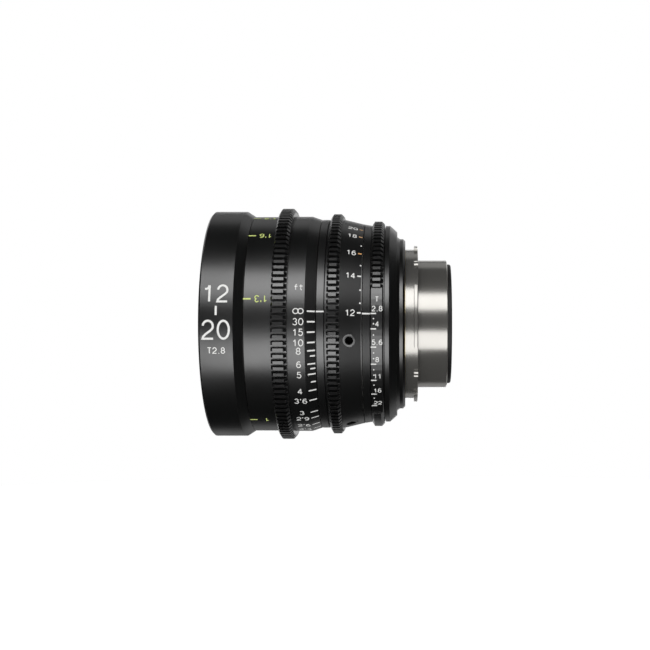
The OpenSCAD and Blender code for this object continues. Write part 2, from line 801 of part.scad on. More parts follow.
module main_barrel() {
    spigot_r = front_barrel_bore_r - seat_gap;
    color(aluminium) difference() {
        turned([
            [barrel_bore_r, barrel_front], [spigot_r, barrel_front], [spigot_r, front_index_front],
            [barrel_r, front_index_front], [barrel_r, barrel_step], [barrel_tail_r, barrel_step],
            [barrel_tail_r, barrel_flange_rear], [barrel_flange_r, barrel_flange_rear],
            [barrel_flange_r, barrel_flange_front], [barrel_bore_r, barrel_flange_front]
        ]);
        turning_slot(key_x, key_angle, key_angle + zoom_throw, barrel_bore_r - overrun,
            barrel_r + overrun, key_r + pin_gap);
        turning_slot(iris_pin_x, iris_pin_angle - iris_throw, iris_pin_angle, barrel_bore_r - overrun,
            barrel_r + overrun, iris_pin_r + pin_gap);
        for (i = [0:screw_count - 1])
            axial_pin(index_angle + 360 * (i + 0.5) / screw_count, housing_screw_circle_r,
                barrel_flange_front - overrun, barrel_flange_rear + overrun, housing_screw_r + seat_gap);
        for (i = [0:cell_screw_count - 1])
            axial_pin(index_angle + 360 * i / cell_screw_count, cell_screw_circle_r,
                barrel_flange_front - overrun, barrel_flange_rear + overrun, cell_screw_r + seat_gap);
    }
}

module front_barrel() {
    rear = front_index_front - seat_gap;
    second_seat_r = second_r + seat_gap;
    groove_floor = front_barrel_r - stop_groove_depth;
    groove_half = stop_pin_r + pin_gap;
    groove_end = asin(groove_half / groove_floor);
    color(aluminium) difference() {
        turned([
            [second_seat_r, front_barrel_front], [front_barrel_r, front_barrel_front],
            [front_barrel_r, rear], [front_barrel_bore_r, rear], [front_barrel_bore_r, ledge_rear],
            [ledge_r, ledge_rear], [ledge_r, second_rear], [second_seat_r, second_rear]
        ]);
        guide_slots(follower_count, follower_angle, follower_x - focus_travel, follower_x,
            front_barrel_bore_r - overrun, front_barrel_r + overrun, follower_r + pin_gap);
        sector([
            [groove_floor, stop_pin_x - groove_half], [front_barrel_r + overrun, stop_pin_x - groove_half],
            [front_barrel_r + overrun, stop_pin_x + groove_half], [groove_floor, stop_pin_x + groove_half]
        ], stop_angle - focus_throw - groove_end, stop_angle + groove_end);
    }
}

module front_index_ring() {
    color(black) turned([
        [index_seat_r, front_index_front], [front_index_r - edge_bevel, front_index_front],
        [front_index_r, front_index_front + edge_bevel], [front_index_r, front_index_rear - edge_bevel],
        [front_index_r - edge_bevel, front_index_rear], [index_seat_r, front_index_rear]
    ]);
}

module rear_index_ring() {
    color(black) turned([
        [index_seat_r, rear_index_front], [rear_index_r - edge_bevel, rear_index_front],
        [rear_index_r, rear_index_front + edge_bevel], [rear_index_end_r, rear_index_rear - edge_bevel],
        [rear_index_end_r - edge_bevel, rear_index_rear], [index_seat_r, rear_index_rear]
    ]);
}

module front_ring() {
    thread_end = front_x + filter_depth;
    retainer_seat = retainer_rear + ring_gap;
    glass_bore = glass_edge_r + seat_gap;
    barrel_bore = front_barrel_r + seat_gap;
    color(black) turned([
        [filter_r, front_x], [front_r - rim_bevel, front_x], [front_r, front_x + rim_bevel],
        [front_r, front_cone_front], [focus_front_r, front_ring_rear - edge_bevel],
        [focus_front_r - edge_bevel, front_ring_rear], [barrel_bore, front_ring_rear],
        [barrel_bore, front_barrel_front], [shoulder_r, front_barrel_front], [shoulder_r, glass_rim_rear],
        [glass_bore, glass_rim_rear], [glass_bore, retainer_seat], [retainer_r + seat_gap, retainer_seat],
        [retainer_r + seat_gap, thread_end], [filter_r, thread_end]
    ]);
}

module front_retainer() {
    retainer_front = retainer_rear - retainer_length;
    color(dark) turned([
        [retainer_bore_r, retainer_rear], [retainer_bore_r + retainer_lift, retainer_front],
        [retainer_r, retainer_front], [retainer_r, retainer_rear]
    ]);
}

module front_element() {
    element(glass_edge_r, glass_rim_front, glass_edge, glass_sag, -glass_hollow);
}

module second_element() {
    element(second_r, second_front, second_edge, second_front_sag, -second_hollow);
}

module guide_tube() {
    color(aluminium) difference() {
        turned([
            [guide_bore_r, guide_front], [guide_r, guide_front], [guide_r, guide_flange_front],
            [cam_r, guide_flange_front], [cam_r, guide_rear], [guide_bore_r, guide_rear]
        ]);
        guide_slots(roller_count, roller_angle, variator_roller_x, variator_roller_x + variator_travel,
            guide_bore_r - overrun, guide_r + overrun, roller_r + pin_gap);
        guide_slots(roller_count, roller_angle, compensator_roller_x - compensator_travel, compensator_roller_x,
            guide_bore_r - overrun, guide_r + overrun, roller_r + pin_gap);
    }
}

module iris_housing() {
    plate_rear = iris_unit_front + iris_plate;
    color(dark) difference() {
        turned([
            [iris_plate_bore_r, iris_unit_front], [iris_unit_r, iris_unit_front],
            [iris_unit_r, iris_unit_rear], [iris_unit_bore_r, iris_unit_rear],
            [iris_unit_bore_r, plate_rear], [iris_plate_bore_r, plate_rear]
        ]);
        for (i = [0:blade_count - 1])
            axial_pin(blade_angle(i), pivot_circle_r, iris_unit_front - overrun, plate_rear + overrun,
                pivot_r + pin_gap);
        turning_slot(iris_pin_x, iris_pin_angle - iris_throw, iris_pin_angle, iris_unit_bore_r - overrun,
            iris_unit_r + overrun, iris_pin_r + pin_gap);
    }
}

module iris_cover() {
    color(dark) ring(iris_unit_bore_r - seat_gap, iris_plate_bore_r, cover_front,
        cover_front + cover_thickness);
}

module rear_cell() {
    front_seat_r = rear_front_r + seat_gap;
    doublet_seat_r = rear_doublet_r + seat_gap;
    thread_r = rear_retainer_r + seat_gap;
    color(black) difference() {
        turned([
            [front_seat_r, cell_front], [cell_body_r, cell_front], [cell_body_r, cell_flange_front],
            [cell_flange_r, cell_flange_front], [cell_flange_r, cell_flange_rear],
            [cell_body_r, cell_flange_rear], [cell_body_r, cell_step], [cell_r, cell_step],
            [cell_r, cell_rear - cell_edge], [cell_r - cell_edge, cell_rear], [thread_r, cell_rear],
            [thread_r, rear_last_rear], [doublet_seat_r, rear_last_rear],
            [doublet_seat_r, rear_doublet_front],
            [rear_rib_r, rear_doublet_front], [rear_rib_r, rear_rib_front],
            [front_seat_r, rear_rib_front]
        ]);
        for (i = [0:cell_screw_count - 1]) {
            angle = index_angle + 360 * i / cell_screw_count;
            axial_pin(angle, cell_screw_circle_r, cell_flange_front - overrun, cell_flange_rear + overrun,
                cell_screw_r + pin_gap);
            axial_pin(angle, cell_screw_circle_r, cell_flange_front - overrun,
                cell_flange_front + cell_screw_head + seat_gap, cell_screw_head_r + pin_gap);
        }
    }
}

module rear_cell_screws() {
    head_rear = cell_flange_front + cell_screw_head;
    color(steel) for (i = [0:cell_screw_count - 1]) {
        angle = index_angle + 360 * i / cell_screw_count;
        axial_pin(angle, cell_screw_circle_r, head_rear - cell_screw_head, head_rear, cell_screw_head_r);
        axial_pin(angle, cell_screw_circle_r, head_rear, head_rear + cell_screw_length, cell_screw_r);
    }
}

module rear_group_front_element() {
    element(rear_front_r, rear_front_lens - seat_gap, rear_front_edge, rear_front_sag, rear_front_rear_sag);
}

module rear_group_doublet() {
    element(rear_doublet_r, rear_doublet_front + seat_gap, rear_doublet_edge, -rear_doublet_hollow,
        rear_doublet_sag);
}

module rear_element() {
    element(rear_doublet_r, rear_last_front, rear_last_edge, -rear_last_hollow, rear_last_sag);
}

module rear_spacer() {
    front = rear_doublet_front + seat_gap + rear_doublet_edge + rear_spacer_lift;
    color(dark) ring(rear_doublet_r, rear_rib_r, front, rear_last_front - seat_gap);
}

module rear_retainer() {
    front = rear_last_rear + rear_retainer_lift;
    rear = front + rear_retainer_length;
    color(dark) turned([
        [rear_retainer_bore_r, front], [rear_retainer_r, front], [rear_retainer_r, rear],
        [rear_retainer_bore_r + rear_retainer_bevel, rear]
    ]);
}

// A low-friction washer in a recess of the turning ring, seated on the fixed ring behind it
module washer(inner_r, rear) {
    color(white) ring(inner_r + washer_width, inner_r, rear - washer_thickness, rear - seat_gap);
}

module focus_washer() {
    washer(focus_bore_r, front_index_front);
}

module zoom_washer() {
    washer(ring_bore_r, rear_index_front);
}

// Recess for a washer in the rear face of a turning ring
module washer_recess(inner_r, rear) {
    ring(inner_r + washer_width + ring_gap, inner_r - overrun, rear - washer_thickness, rear + overrun);
}

module focus_ring() {
    relief_r = focus_bore_r + ring_relief;
    relief_front = follower_x + follower_r + ring_land;
    relief_rear = focus_rear - ring_land - washer_thickness;
    color(black) difference() {
        turned([
            [focus_bore_r, focus_front_x], [focus_front_r - edge_bevel, focus_front_x],
            [focus_front_r, focus_front_x + edge_bevel], [focus_front_r, focus_gear_rear],
            [focus_band_r, focus_gear_rear], [focus_band_r, focus_cone_front],
            [focus_rear_r, focus_rear - edge_bevel], [focus_rear_r - edge_bevel, focus_rear],
            [focus_bore_r, focus_rear], [focus_bore_r, relief_rear], [relief_r, relief_rear],
            [relief_r, relief_front], [focus_bore_r, relief_front]
        ]);
        washer_recess(focus_bore_r, focus_rear);
        at_angle(stop_angle)
            radial_pin(stop_pin_x, focus_bore_r - overrun, stop_pin_seat_r, stop_pin_r + seat_gap);
        for (i = [0:follower_count - 1])
            cam_slot(follower_angle + 360 * i / follower_count, focus_throw, follower_x, -focus_travel,
                focus_bore_r - overrun, focus_bore_r + helix_depth, follower_r + pin_gap, helix_steps);
    }
}

module focus_gear() {
    color(dark) gear_ring(focus_teeth, focus_tip_r, focus_front_r + seat_gap, focus_gear_front,
        focus_gear_rear - seat_gap);
}

module focus_stop_pin() {
    foot_r = front_barrel_r - stop_groove_depth + ring_gap;
    color(steel) at_angle(stop_angle)
        radial_pin(stop_pin_x, foot_r, stop_pin_seat_r - seat_gap, stop_pin_r);
}

module focus_cell() {
    front_seat_r = focus_lens_r + seat_gap;
    rib_r = focus_lens_r - focus_rib_depth;
    color(dark) difference() {
        turned([
            [front_seat_r, focus_cell_front], [focus_cell_r, focus_cell_front],
            [focus_cell_r, focus_cell_rear],
            [front_seat_r, focus_cell_rear], [front_seat_r, focus_rib_front + focus_rib],
            [rib_r, focus_rib_front + focus_rib], [rib_r, focus_rib_front], [front_seat_r, focus_rib_front]
        ]);
        for (i = [0:follower_count - 1])
            at_angle(follower_angle + 360 * i / follower_count)
                radial_pin(follower_x, follower_foot_r - seat_gap, focus_cell_r + overrun,
                    follower_r + seat_gap);
    }
}

module focus_followers() {
    color(brass) for (i = [0:follower_count - 1])
        at_angle(follower_angle + 360 * i / follower_count)
            radial_pin(follower_x, follower_foot_r, focus_bore_r + helix_depth - follower_tip_gap,
                follower_r);
}

module focus_front_element() {
    element(focus_lens_r, focus_front_lens, focus_front_edge, -focus_front_hollow, -focus_middle_hollow);
}

module focus_rear_element() {
    element(focus_lens_r, focus_rear_lens, focus_rear_edge, focus_rear_bulge, focus_rear_sag);
}

module focus_retainer() {
    front = focus_rear_lens + focus_rear_edge + focus_retainer_lift;
    color(dark) ring(focus_lens_r, focus_lens_r - focus_rib_depth, front, front + focus_retainer_length);
}

module zoom_ring() {
    relief_r = ring_bore_r + ring_relief;
    color(black) difference() {
        turned([
            [ring_bore_r, zoom_front], [zoom_neck_r, zoom_front], [zoom_neck_r, zoom_gear_rear],
            [zoom_front_r, zoom_gear_rear], [zoom_rear_r, zoom_rear - edge_bevel],
            [zoom_rear_r - edge_bevel, zoom_rear], [ring_bore_r, zoom_rear],
            [ring_bore_r, zoom_rear - ring_land], [relief_r, zoom_rear - ring_land],
            [relief_r, zoom_gear_front + ring_land], [ring_bore_r, zoom_gear_front + ring_land]
        ]);
        washer_recess(ring_bore_r, zoom_rear);
        at_angle(key_angle) radial_pin(key_x, ring_bore_r - overrun, key_tip_r + seat_gap, key_r + seat_gap);
        for (angle = lever_angles) at_angle(angle) {
            radial_pin(lever_x, lever_face_r, zoom_front_r + overrun, lever_spot_r);
            radial_pin(lever_x, lever_face_r - lever_thread_depth, zoom_front_r + overrun, lever_thread_r);
        }
    }
}

module zoom_gear() {
    color(dark) gear_ring(zoom_teeth, zoom_tip_r, zoom_neck_r + seat_gap, zoom_gear_front,
        zoom_gear_rear - seat_gap);
}

module zoom_drive_key() {
    color(steel) at_angle(key_angle) radial_pin(key_x, key_foot_r, key_tip_r, key_r);
}

module cam_tube() {
    color(bronze) difference() {
        ring(cam_r, cam_bore_r, cam_front, cam_rear);
        at_angle(key_angle) radial_pin(key_x, cam_bore_r - overrun, cam_r + overrun, key_r + seat_gap);
        for (i = [0:roller_count - 1]) {
            angle = roller_angle + 360 * i / roller_count;
            cam_slot(angle, -zoom_throw, variator_roller_x, variator_travel, cam_bore_r - overrun,
                cam_r + overrun, roller_r + pin_gap, slot_steps);
            cam_slot(angle, -zoom_throw, compensator_roller_x, -compensator_travel, cam_bore_r - overrun,
                cam_r + overrun, roller_r + pin_gap, slot_steps);
        }
    }
}

// Rollers on the outside of a group, which run in the guide tube and the cam tube
module rollers(x) {
    color(brass) for (i = [0:roller_count - 1])
        at_angle(roller_angle + 360 * i / roller_count)
            radial_pin(x, roller_foot_r, cam_r - roller_tip_gap, roller_r);
}

// Seats for the rollers
module roller_seats(x) {
    for (i = [0:roller_count - 1])
        at_angle(roller_angle + 360 * i / roller_count)
            radial_pin(x, roller_foot_r - seat_gap, group_r + overrun, roller_r + seat_gap);
}

module variator_cell() {
    seat_r = variator_lens_r + seat_gap;
    rib_r = variator_lens_r - variator_rib_depth;
    color(dark) difference() {
        turned([
            [seat_r, variator_front], [group_r, variator_front], [group_r, variator_rear],
            [seat_r, variator_rear], [seat_r, variator_rib_front + variator_rib],
            [rib_r, variator_rib_front + variator_rib], [rib_r, variator_rib_front],
            [seat_r, variator_rib_front]
        ]);
        roller_seats(variator_roller_x);
    }
}

module variator_rollers() {
    rollers(variator_roller_x);
}

module variator_front_element() {
    element(variator_lens_r, variator_front_lens, variator_front_edge, -variator_front_hollow,
        -variator_middle_hollow);
}

module variator_rear_element() {
    element(variator_lens_r, variator_rear_lens, variator_rear_edge, variator_rear_bulge,
        -variator_rear_hollow);
}

module variator_retainer() {
    front = variator_rear_lens + variator_rear_edge + seat_gap;
    color(dark) ring(variator_lens_r, variator_lens_r - variator_rib_depth, front,
        front + variator_retainer_length);
}

module compensator_cell() {
    seat_r = compensator_lens_r + seat_gap;
    ledge_end = compensator_front + compensator_ledge;
    web_rear = compensator_rear - compensator_relief_depth;
    color(dark) difference() {
        turned([
            [compensator_lens_r - compensator_ledge_depth, compensator_front], [group_r, compensator_front],
            [group_r, compensator_rear], [compensator_relief_outer_r, compensator_rear],
            [compensator_relief_outer_r, web_rear], [compensator_relief_r, web_rear],
            [compensator_relief_r, compensator_rear], [seat_r, compensator_rear], [seat_r, ledge_end],
            [compensator_lens_r - compensator_ledge_depth, ledge_end]
        ]);
        roller_seats(compensator_roller_x);
    }
}

module compensator_rollers() {
    rollers(compensator_roller_x);
}

module compensator_doublet() {
    element(compensator_lens_r, compensator_lens, compensator_edge, compensator_front_sag,
        compensator_rear_sag);
}

module compensator_retainer() {
    front = compensator_lens + compensator_edge + compensator_retainer_lift;
    color(dark) ring(compensator_lens_r, compensator_lens_r - compensator_ledge_depth, front,
        front + compensator_retainer_length);
}

// The iris ring: teeth over the top, a smooth scale pad on the camera's side and a raised block below
module iris_ring() {
    pad_r = iris_tip_r - iris_pad_drop;
    pitch = 360 / iris_teeth;
    first = ceil((iris_block_start + iris_block_span) / pitch);
    last = floor((iris_teeth_end + 360) / pitch);
    outline = concat(
        teeth_points(iris_teeth, iris_tip_r, first, last),
        [
            for (i = [0:pad_steps])
                flat_point(iris_teeth_end + (iris_block_start - iris_teeth_end) * i / pad_steps, pad_r)
        ],
        [
            for (i = [0:pad_steps])
                flat_point(iris_block_start + iris_block_span * i / pad_steps, iris_tip_r)
        ]
    );
    color(black) difference() {
        intersection() {
            translate([iris_front, 0, 0]) along_axis() rotate([0, 0, -90]) linear_extrude(iris_width)
                polygon(outline);
            turned(gear_blank(iris_tip_r, ring_bore_r, iris_front, iris_rear));
        }
        at_angle(iris_pin_angle)
            radial_pin(iris_pin_x, ring_bore_r - overrun, iris_pin_tip_r + seat_gap, iris_pin_r + seat_gap);
    }
}

module iris_drive_pin() {
    color(steel) at_angle(iris_pin_angle) radial_pin(iris_pin_x, iris_pin_foot_r, iris_pin_tip_r, iris_pin_r);
}

// Angle of a blade's pivot
function blade_angle(i) = blade_first_angle + 360 * i / blade_count;

// Place of a blade's stud after a share of its travel, seen from the drive ring, in flat coordinates
function stud_point(share) =
    let (
        turn = blade_turn * share,
        arm = flat_point(stud_angle, stud_circle_r) - [pivot_circle_r, 0],
        turned_arm = [arm[0] * cos(turn) - arm[1] * sin(turn), arm[0] * sin(turn) + arm[1] * cos(turn)],
        place = turned_arm + [pivot_circle_r, 0],
        back = iris_throw * share
    )
    [place[0] * cos(back) - place[1] * sin(back), place[0] * sin(back) + place[1] * cos(back)];

// Unit vector square to the stud's path
function stud_side(share) =
    let (step = stud_point(share + stud_step) - stud_point(share - stud_step), length = norm(step))
    [-step[1], step[0]] / length;

module iris_drive_ring() {
    rim_front = drive_rear - drive_rim;
    half = stud_r + stud_gap;
    left = [for (i = [0:slot_steps]) stud_point(i / slot_steps) + half * stud_side(i / slot_steps)];
    right = [for (i = [0:slot_steps]) stud_point(i / slot_steps) - half * stud_side(i / slot_steps)];
    color(bronze) difference() {
        turned([
            [iris_plate_bore_r, drive_front], [drive_rim_r, drive_front], [drive_rim_r, rim_front],
            [drive_r, rim_front], [drive_r, drive_rear], [iris_plate_bore_r, drive_rear]
        ]);
        for (i = [0:blade_count - 1])
            translate([drive_front - overrun, 0, 0]) along_axis() rotate([0, 0, blade_angle(i) - 90])
                linear_extrude(drive_web + 2 * overrun) {
                    polygon(concat(left, reversed(right)));
                    translate(stud_point(0)) circle(r = half);
                    translate(stud_point(1)) circle(r = half);
                }
        at_angle(iris_pin_angle)
            radial_pin(iris_pin_x, iris_pin_foot_r - seat_gap, drive_r + overrun, iris_pin_r + seat_gap);
    }
}

// One blade in its own plane: a curved band, a tail, a pivot towards the front and a stud to the rear
module iris_blade(i) {
    front = first_blade + i * blade_pitch;
    rear = front + blade_thickness;
    band_outer_r = iris_open_r + blade_width;
    angle = blade_angle(i);
    color(dark) {
        sector([[iris_open_r, front], [band_outer_r, front], [band_outer_r, rear], [iris_open_r, rear]],
            angle + blade_root, angle + blade_span);
        sector([[band_outer_r - blade_overlap, front], [blade_tail_r, front], [blade_tail_r, rear],
            [band_outer_r - blade_overlap, rear]], angle + blade_tail_start, angle + blade_tail_end);
        axial_pin(angle, pivot_circle_r, iris_unit_front + ring_gap, rear, pivot_r);
        axial_pin(angle + stud_angle, stud_circle_r, front, drive_rear - ring_gap, stud_r);
    }
}

module iris_blade_1() { iris_blade(0); }
module iris_blade_2() { iris_blade(1); }
module iris_blade_3() { iris_blade(2); }
module iris_blade_4() { iris_blade(3); }
module iris_blade_5() { iris_blade(4); }
module iris_blade_6() { iris_blade(5); }
module iris_blade_7() { iris_blade(6); }
module iris_blade_8() { iris_blade(7); }
module iris_blade_9() { iris_blade(8); }

pl_mount();
mount_screws();
mount_shim();
rear_housing();
housing_screws();
main_barrel();
front_barrel();
front_index_ring();
rear_index_ring();
front_ring();
front_retainer();
front_element();
second_element();
guide_tube();
iris_housing();
iris_cover();
rear_cell();
rear_cell_screws();
rear_group_front_element();
rear_group_doublet();
rear_spacer();
rear_element();
rear_retainer();
focus_washer();
zoom_washer();
focus_ring();
focus_gear();
focus_stop_pin();
focus_cell();
focus_followers();
focus_front_element();
focus_rear_element();
focus_retainer();
zoom_ring();
zoom_gear();
zoom_drive_key();
cam_tube();
variator_cell();
variator_rollers();
variator_front_element();
variator_rear_element();
variator_retainer();
compensator_cell();
compensator_rollers();
compensator_doublet();
compensator_retainer();
iris_ring();
iris_drive_pin();
iris_drive_ring();
iris_blade_1();
iris_blade_2();
iris_blade_3();
iris_blade_4();
iris_blade_5();
iris_blade_6();
iris_blade_7();
iris_blade_8();
iris_blade_9();
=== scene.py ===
import json
import math

import bmesh
import bpy
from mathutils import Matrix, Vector


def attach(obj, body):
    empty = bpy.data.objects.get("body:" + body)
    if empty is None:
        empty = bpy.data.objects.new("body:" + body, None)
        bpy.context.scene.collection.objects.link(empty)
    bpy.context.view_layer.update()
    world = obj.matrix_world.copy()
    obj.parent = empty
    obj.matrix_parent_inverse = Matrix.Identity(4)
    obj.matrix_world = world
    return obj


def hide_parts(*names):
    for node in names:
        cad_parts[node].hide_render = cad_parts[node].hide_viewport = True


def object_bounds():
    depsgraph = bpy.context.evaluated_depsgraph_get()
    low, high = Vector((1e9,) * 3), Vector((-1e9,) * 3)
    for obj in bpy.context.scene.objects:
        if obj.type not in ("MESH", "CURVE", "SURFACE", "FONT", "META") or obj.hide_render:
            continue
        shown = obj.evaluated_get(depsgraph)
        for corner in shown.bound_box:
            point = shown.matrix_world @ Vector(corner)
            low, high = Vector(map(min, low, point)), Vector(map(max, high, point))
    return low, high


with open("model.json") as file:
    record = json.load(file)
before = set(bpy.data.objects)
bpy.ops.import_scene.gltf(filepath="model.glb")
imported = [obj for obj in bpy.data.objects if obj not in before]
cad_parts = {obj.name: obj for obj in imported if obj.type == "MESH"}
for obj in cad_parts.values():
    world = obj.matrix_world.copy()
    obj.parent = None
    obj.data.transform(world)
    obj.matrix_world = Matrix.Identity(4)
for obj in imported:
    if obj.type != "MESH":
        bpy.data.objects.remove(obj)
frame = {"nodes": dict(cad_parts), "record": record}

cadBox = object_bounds()
nodes = frame["nodes"]
mm = 0.001
print("frame loaded:", len(nodes), "nodes")


# ---- helpers for objects, meshes and shader nodes

smoothAngle = math.radians(25)   # edges sharper than this stay sharp


def addObject(name, data):
    holder = bpy.data.objects.new(name, data)
    bpy.context.scene.collection.objects.link(holder)
    return holder


def objectFrom(work, name):
    # the bmesh is used up
    mesh = bpy.data.meshes.new(name)
    work.to_mesh(mesh)
    work.free()
    return addObject(name, mesh)


def smoothPiece(piece):
    piece.data.shade_smooth()
    piece.data.set_sharp_from_angle(angle=smoothAngle)


def newMaterial(name):
    material = bpy.data.materials.new(name)
    material.use_nodes = True
    tree = material.node_tree
    return material, tree, tree.nodes["Principled BSDF"]


def opaque(colour):
    return (*colour, 1)


def mathNode(tree, operation, first, second=None, clamp=False):
    node = tree.nodes.new("ShaderNodeMath")
    node.operation = operation
    node.use_clamp = clamp
    for place, value in enumerate((first, second)):
        if value is None:
            continue
        if isinstance(value, (int, float)):
            node.inputs[place].default_value = value
        else:
            tree.links.new(value, node.inputs[place])
    return node.outputs[0]


def rangeNode(tree, value, source, target):
    node = tree.nodes.new("ShaderNodeMapRange")
    node.inputs["From Min"].default_value, node.inputs["From Max"].default_value = source
    node.inputs["To Min"].default_value, node.inputs["To Max"].default_value = target
    tree.links.new(value, node.inputs["Value"])
    return node.outputs[0]


def colourMix(tree, amount, first, second):
    mix = tree.nodes.new("ShaderNodeMix")
    mix.data_type = "RGBA"
    mix.inputs["A"].default_value = opaque(first)
    mix.inputs["B"].default_value = opaque(second)
    tree.links.new(amount, mix.inputs["Factor"])
    return mix.outputs["Result"]


def addBump(tree, height, strength, distance):
    bump = tree.nodes.new("ShaderNodeBump")
    bump.inputs["Strength"].default_value = strength
    bump.inputs["Distance"].default_value = distance
    tree.links.new(height, bump.inputs["Height"])
    tree.links.new(bump.outputs[0], tree.nodes["Principled BSDF"].inputs["Normal"])


# name: (cycles to the metre, detail)
noises = {
    "lathe": (4200, 1),   # turned lines
    "grain": (9000, 2),   # blasted grain under the anodising
    "cloud": (55, 3),     # slow change of gloss over a hand's width
    "patch": (900, 3),    # where the edge wear and painted edge highlight show and where they don't
    "dust": (700, 4),
    "paint": (1600, 4),
}


def noiseNode(tree, place, name):
    noise = tree.nodes.new("ShaderNodeTexNoise")
    noise.inputs["Scale"].default_value, noise.inputs["Detail"].default_value = noises[name]
    tree.links.new(place, noise.inputs["Vector"])
    return noise.outputs["Fac"]


# ---- camera, as the photograph was taken: level, side-on, 500 mm from the lens axis

photograph = {
    "pixels": 650,
    "axisPixel": (409.4, 323.8),   # where the camera's own axis meets the picture
    "focalPixels": 1173,
    "distance": 500 * mm,
    "alongLens": -3.53 * mm,
    "sensor": 36,                  # millimetres, as Blender counts it
    "tilt": 90,                    # degrees up from looking straight down
    "nearest": 10 * mm,
    "farthest": 50,
}


def addCamera(view):
    camera = bpy.data.cameras.new("photoCamera")
    camera.sensor_width = view["sensor"]
    camera.lens = view["focalPixels"] / view["pixels"] * view["sensor"]
    middle = view["pixels"] / 2
    camera.shift_x = (middle - view["axisPixel"][0]) / view["pixels"]
    camera.shift_y = (view["axisPixel"][1] - middle) / view["pixels"]
    camera.clip_start = view["nearest"]
    camera.clip_end = view["farthest"]
    holder = addObject("photoCamera", camera)
    holder.location = (view["alongLens"], -view["distance"], 0)
    holder.rotation_euler = (math.radians(view["tilt"]), 0, 0)
    bpy.context.scene.camera = holder


# ---- light: two soft boxes on the camera's side, above and below it, and two weaker ones behind

softBoxes = {
    "keyAbove": {"elevation": 39.5, "azimuth": 0, "spread": 31, "reach": (-300, 200), "level": 3.0},
    "keyBelow": {"elevation": -29, "azimuth": 0, "spread": 33, "reach": (-300, 200), "level": 2.6},
    "backAbove": {"elevation": 48, "azimuth": 180, "spread": 26, "reach": (-700, 700),
                  "level": 0.35},
    "backBelow": {"elevation": -34, "azimuth": 180, "spread": 26, "reach": (-700, 700),
                  "level": 0.35},
}
boxDistance = 900 * mm


def addSoftBox(name, box):
    left, right = (end * mm for end in box["reach"])
    lamp = bpy.data.lights.new(name, "AREA")
    lamp.shape = "RECTANGLE"
    lamp.size = right - left
    lamp.size_y = 2 * boxDistance * math.tan(math.radians(box["spread"] / 2))
    # Blender's watts for a lamp whose face has this radiance
    lamp.energy = box["level"] * math.pi * lamp.size * lamp.size_y
    up = math.radians(box["elevation"])
    around = math.radians(box["azimuth"])
    away = Vector((math.sin(around) * math.cos(up), -math.cos(around) * math.cos(up), math.sin(up)))
    holder = addObject(name, lamp)
    holder.location = away * boxDistance + Vector(((right + left) / 2, 0, 0))
    holder.rotation_euler = away.to_track_quat("Z", "Y").to_euler()
    holder.visible_camera = False


def shownRays(tree):
    # 1 for the camera, and for what metal and glass show
    path = tree.nodes.new("ShaderNodeLightPath")
    seen = mathNode(tree, "MAXIMUM", path.outputs["Is Camera Ray"], path.outputs["Is Glossy Ray"])
    return mathNode(tree, "MAXIMUM", seen, path.outputs["Is Transmission Ray"])


worldLevels = {"studio": 0.58, "backdrop": 1}


def addBackground(tree, level):
    background = tree.nodes.new("ShaderNodeBackground")
    background.inputs["Color"].default_value = (1, 1, 1, 1)
    background.inputs["Strength"].default_value = level
    return background.outputs[0]


def setWorld(levels):
    # white behind the lens for the camera, metal and glass; a dim studio for everything else
    world = bpy.data.worlds.new("studio")
    bpy.context.scene.world = world
    world.use_nodes = True
    tree = world.node_tree
    tree.nodes.clear()
    mix = tree.nodes.new("ShaderNodeMixShader")
    out = tree.nodes.new("ShaderNodeOutputWorld")
    tree.links.new(shownRays(tree), mix.inputs["Fac"])
    tree.links.new(addBackground(tree, levels["studio"]), mix.inputs[1])
    tree.links.new(addBackground(tree, levels["backdrop"]), mix.inputs[2])
    tree.links.new(mix.outputs[0], out.inputs["Surface"])


# ---- floor below the lens, and dark flags that only reflections show, on the lamps' side

floorFacts = {
    "drop": 800 * mm,
    "radius": 6,
    "sides": 96,
    "colour": (0.86, 0.86, 0.86),
    "roughness": 0.9,
    "gloss": 0.1,
    "glow": 0.9,
}
flagFacts = {
    "distance": 1400 * mm,
    "below": 800 * mm,
    "sides": 64,
    "rings": 48,
    "colour": (0.012, 0.012, 0.012),
    "window": 25,   # degrees up and down to the edges of the window behind the lens
    "across": 58,   # degrees from straight behind to its ends
}


def stageObject(work, name, material):
    holder = objectFrom(work, name)
    holder.data.materials.append(material)
    return holder


def addEmission(tree, strength):
    glow = tree.nodes.new("ShaderNodeEmission")
    glow.inputs["Strength"].default_value = strength
    return glow.outputs[0]


def addFloor(facts):
    material, tree, shader = newMaterial("palePaper")
    shader.inputs["Base Color"].default_value = opaque(facts["colour"])
    shader.inputs["Roughness"].default_value = facts["roughness"]
    shader.inputs["Specular IOR Level"].default_value = facts["gloss"]
    lift = tree.nodes.new("ShaderNodeMixShader")
    add = tree.nodes.new("ShaderNodeAddShader")
    tree.links.new(shownRays(tree), lift.inputs["Fac"])
    tree.links.new(addEmission(tree, 0), lift.inputs[1])
    tree.links.new(addEmission(tree, facts["glow"]), lift.inputs[2])
    tree.links.new(shader.outputs[0], add.inputs[0])
    tree.links.new(lift.outputs[0], add.inputs[1])
    tree.links.new(add.outputs[0], tree.nodes["Material Output"].inputs["Surface"])
    work = bmesh.new()
    bmesh.ops.create_circle(work, cap_ends=True, radius=facts["radius"], segments=facts["sides"])
    bmesh.ops.translate(work, verts=work.verts, vec=(0, 0, cadBox[0].z - facts["drop"]))
    stageObject(work, "studioFloor", material)


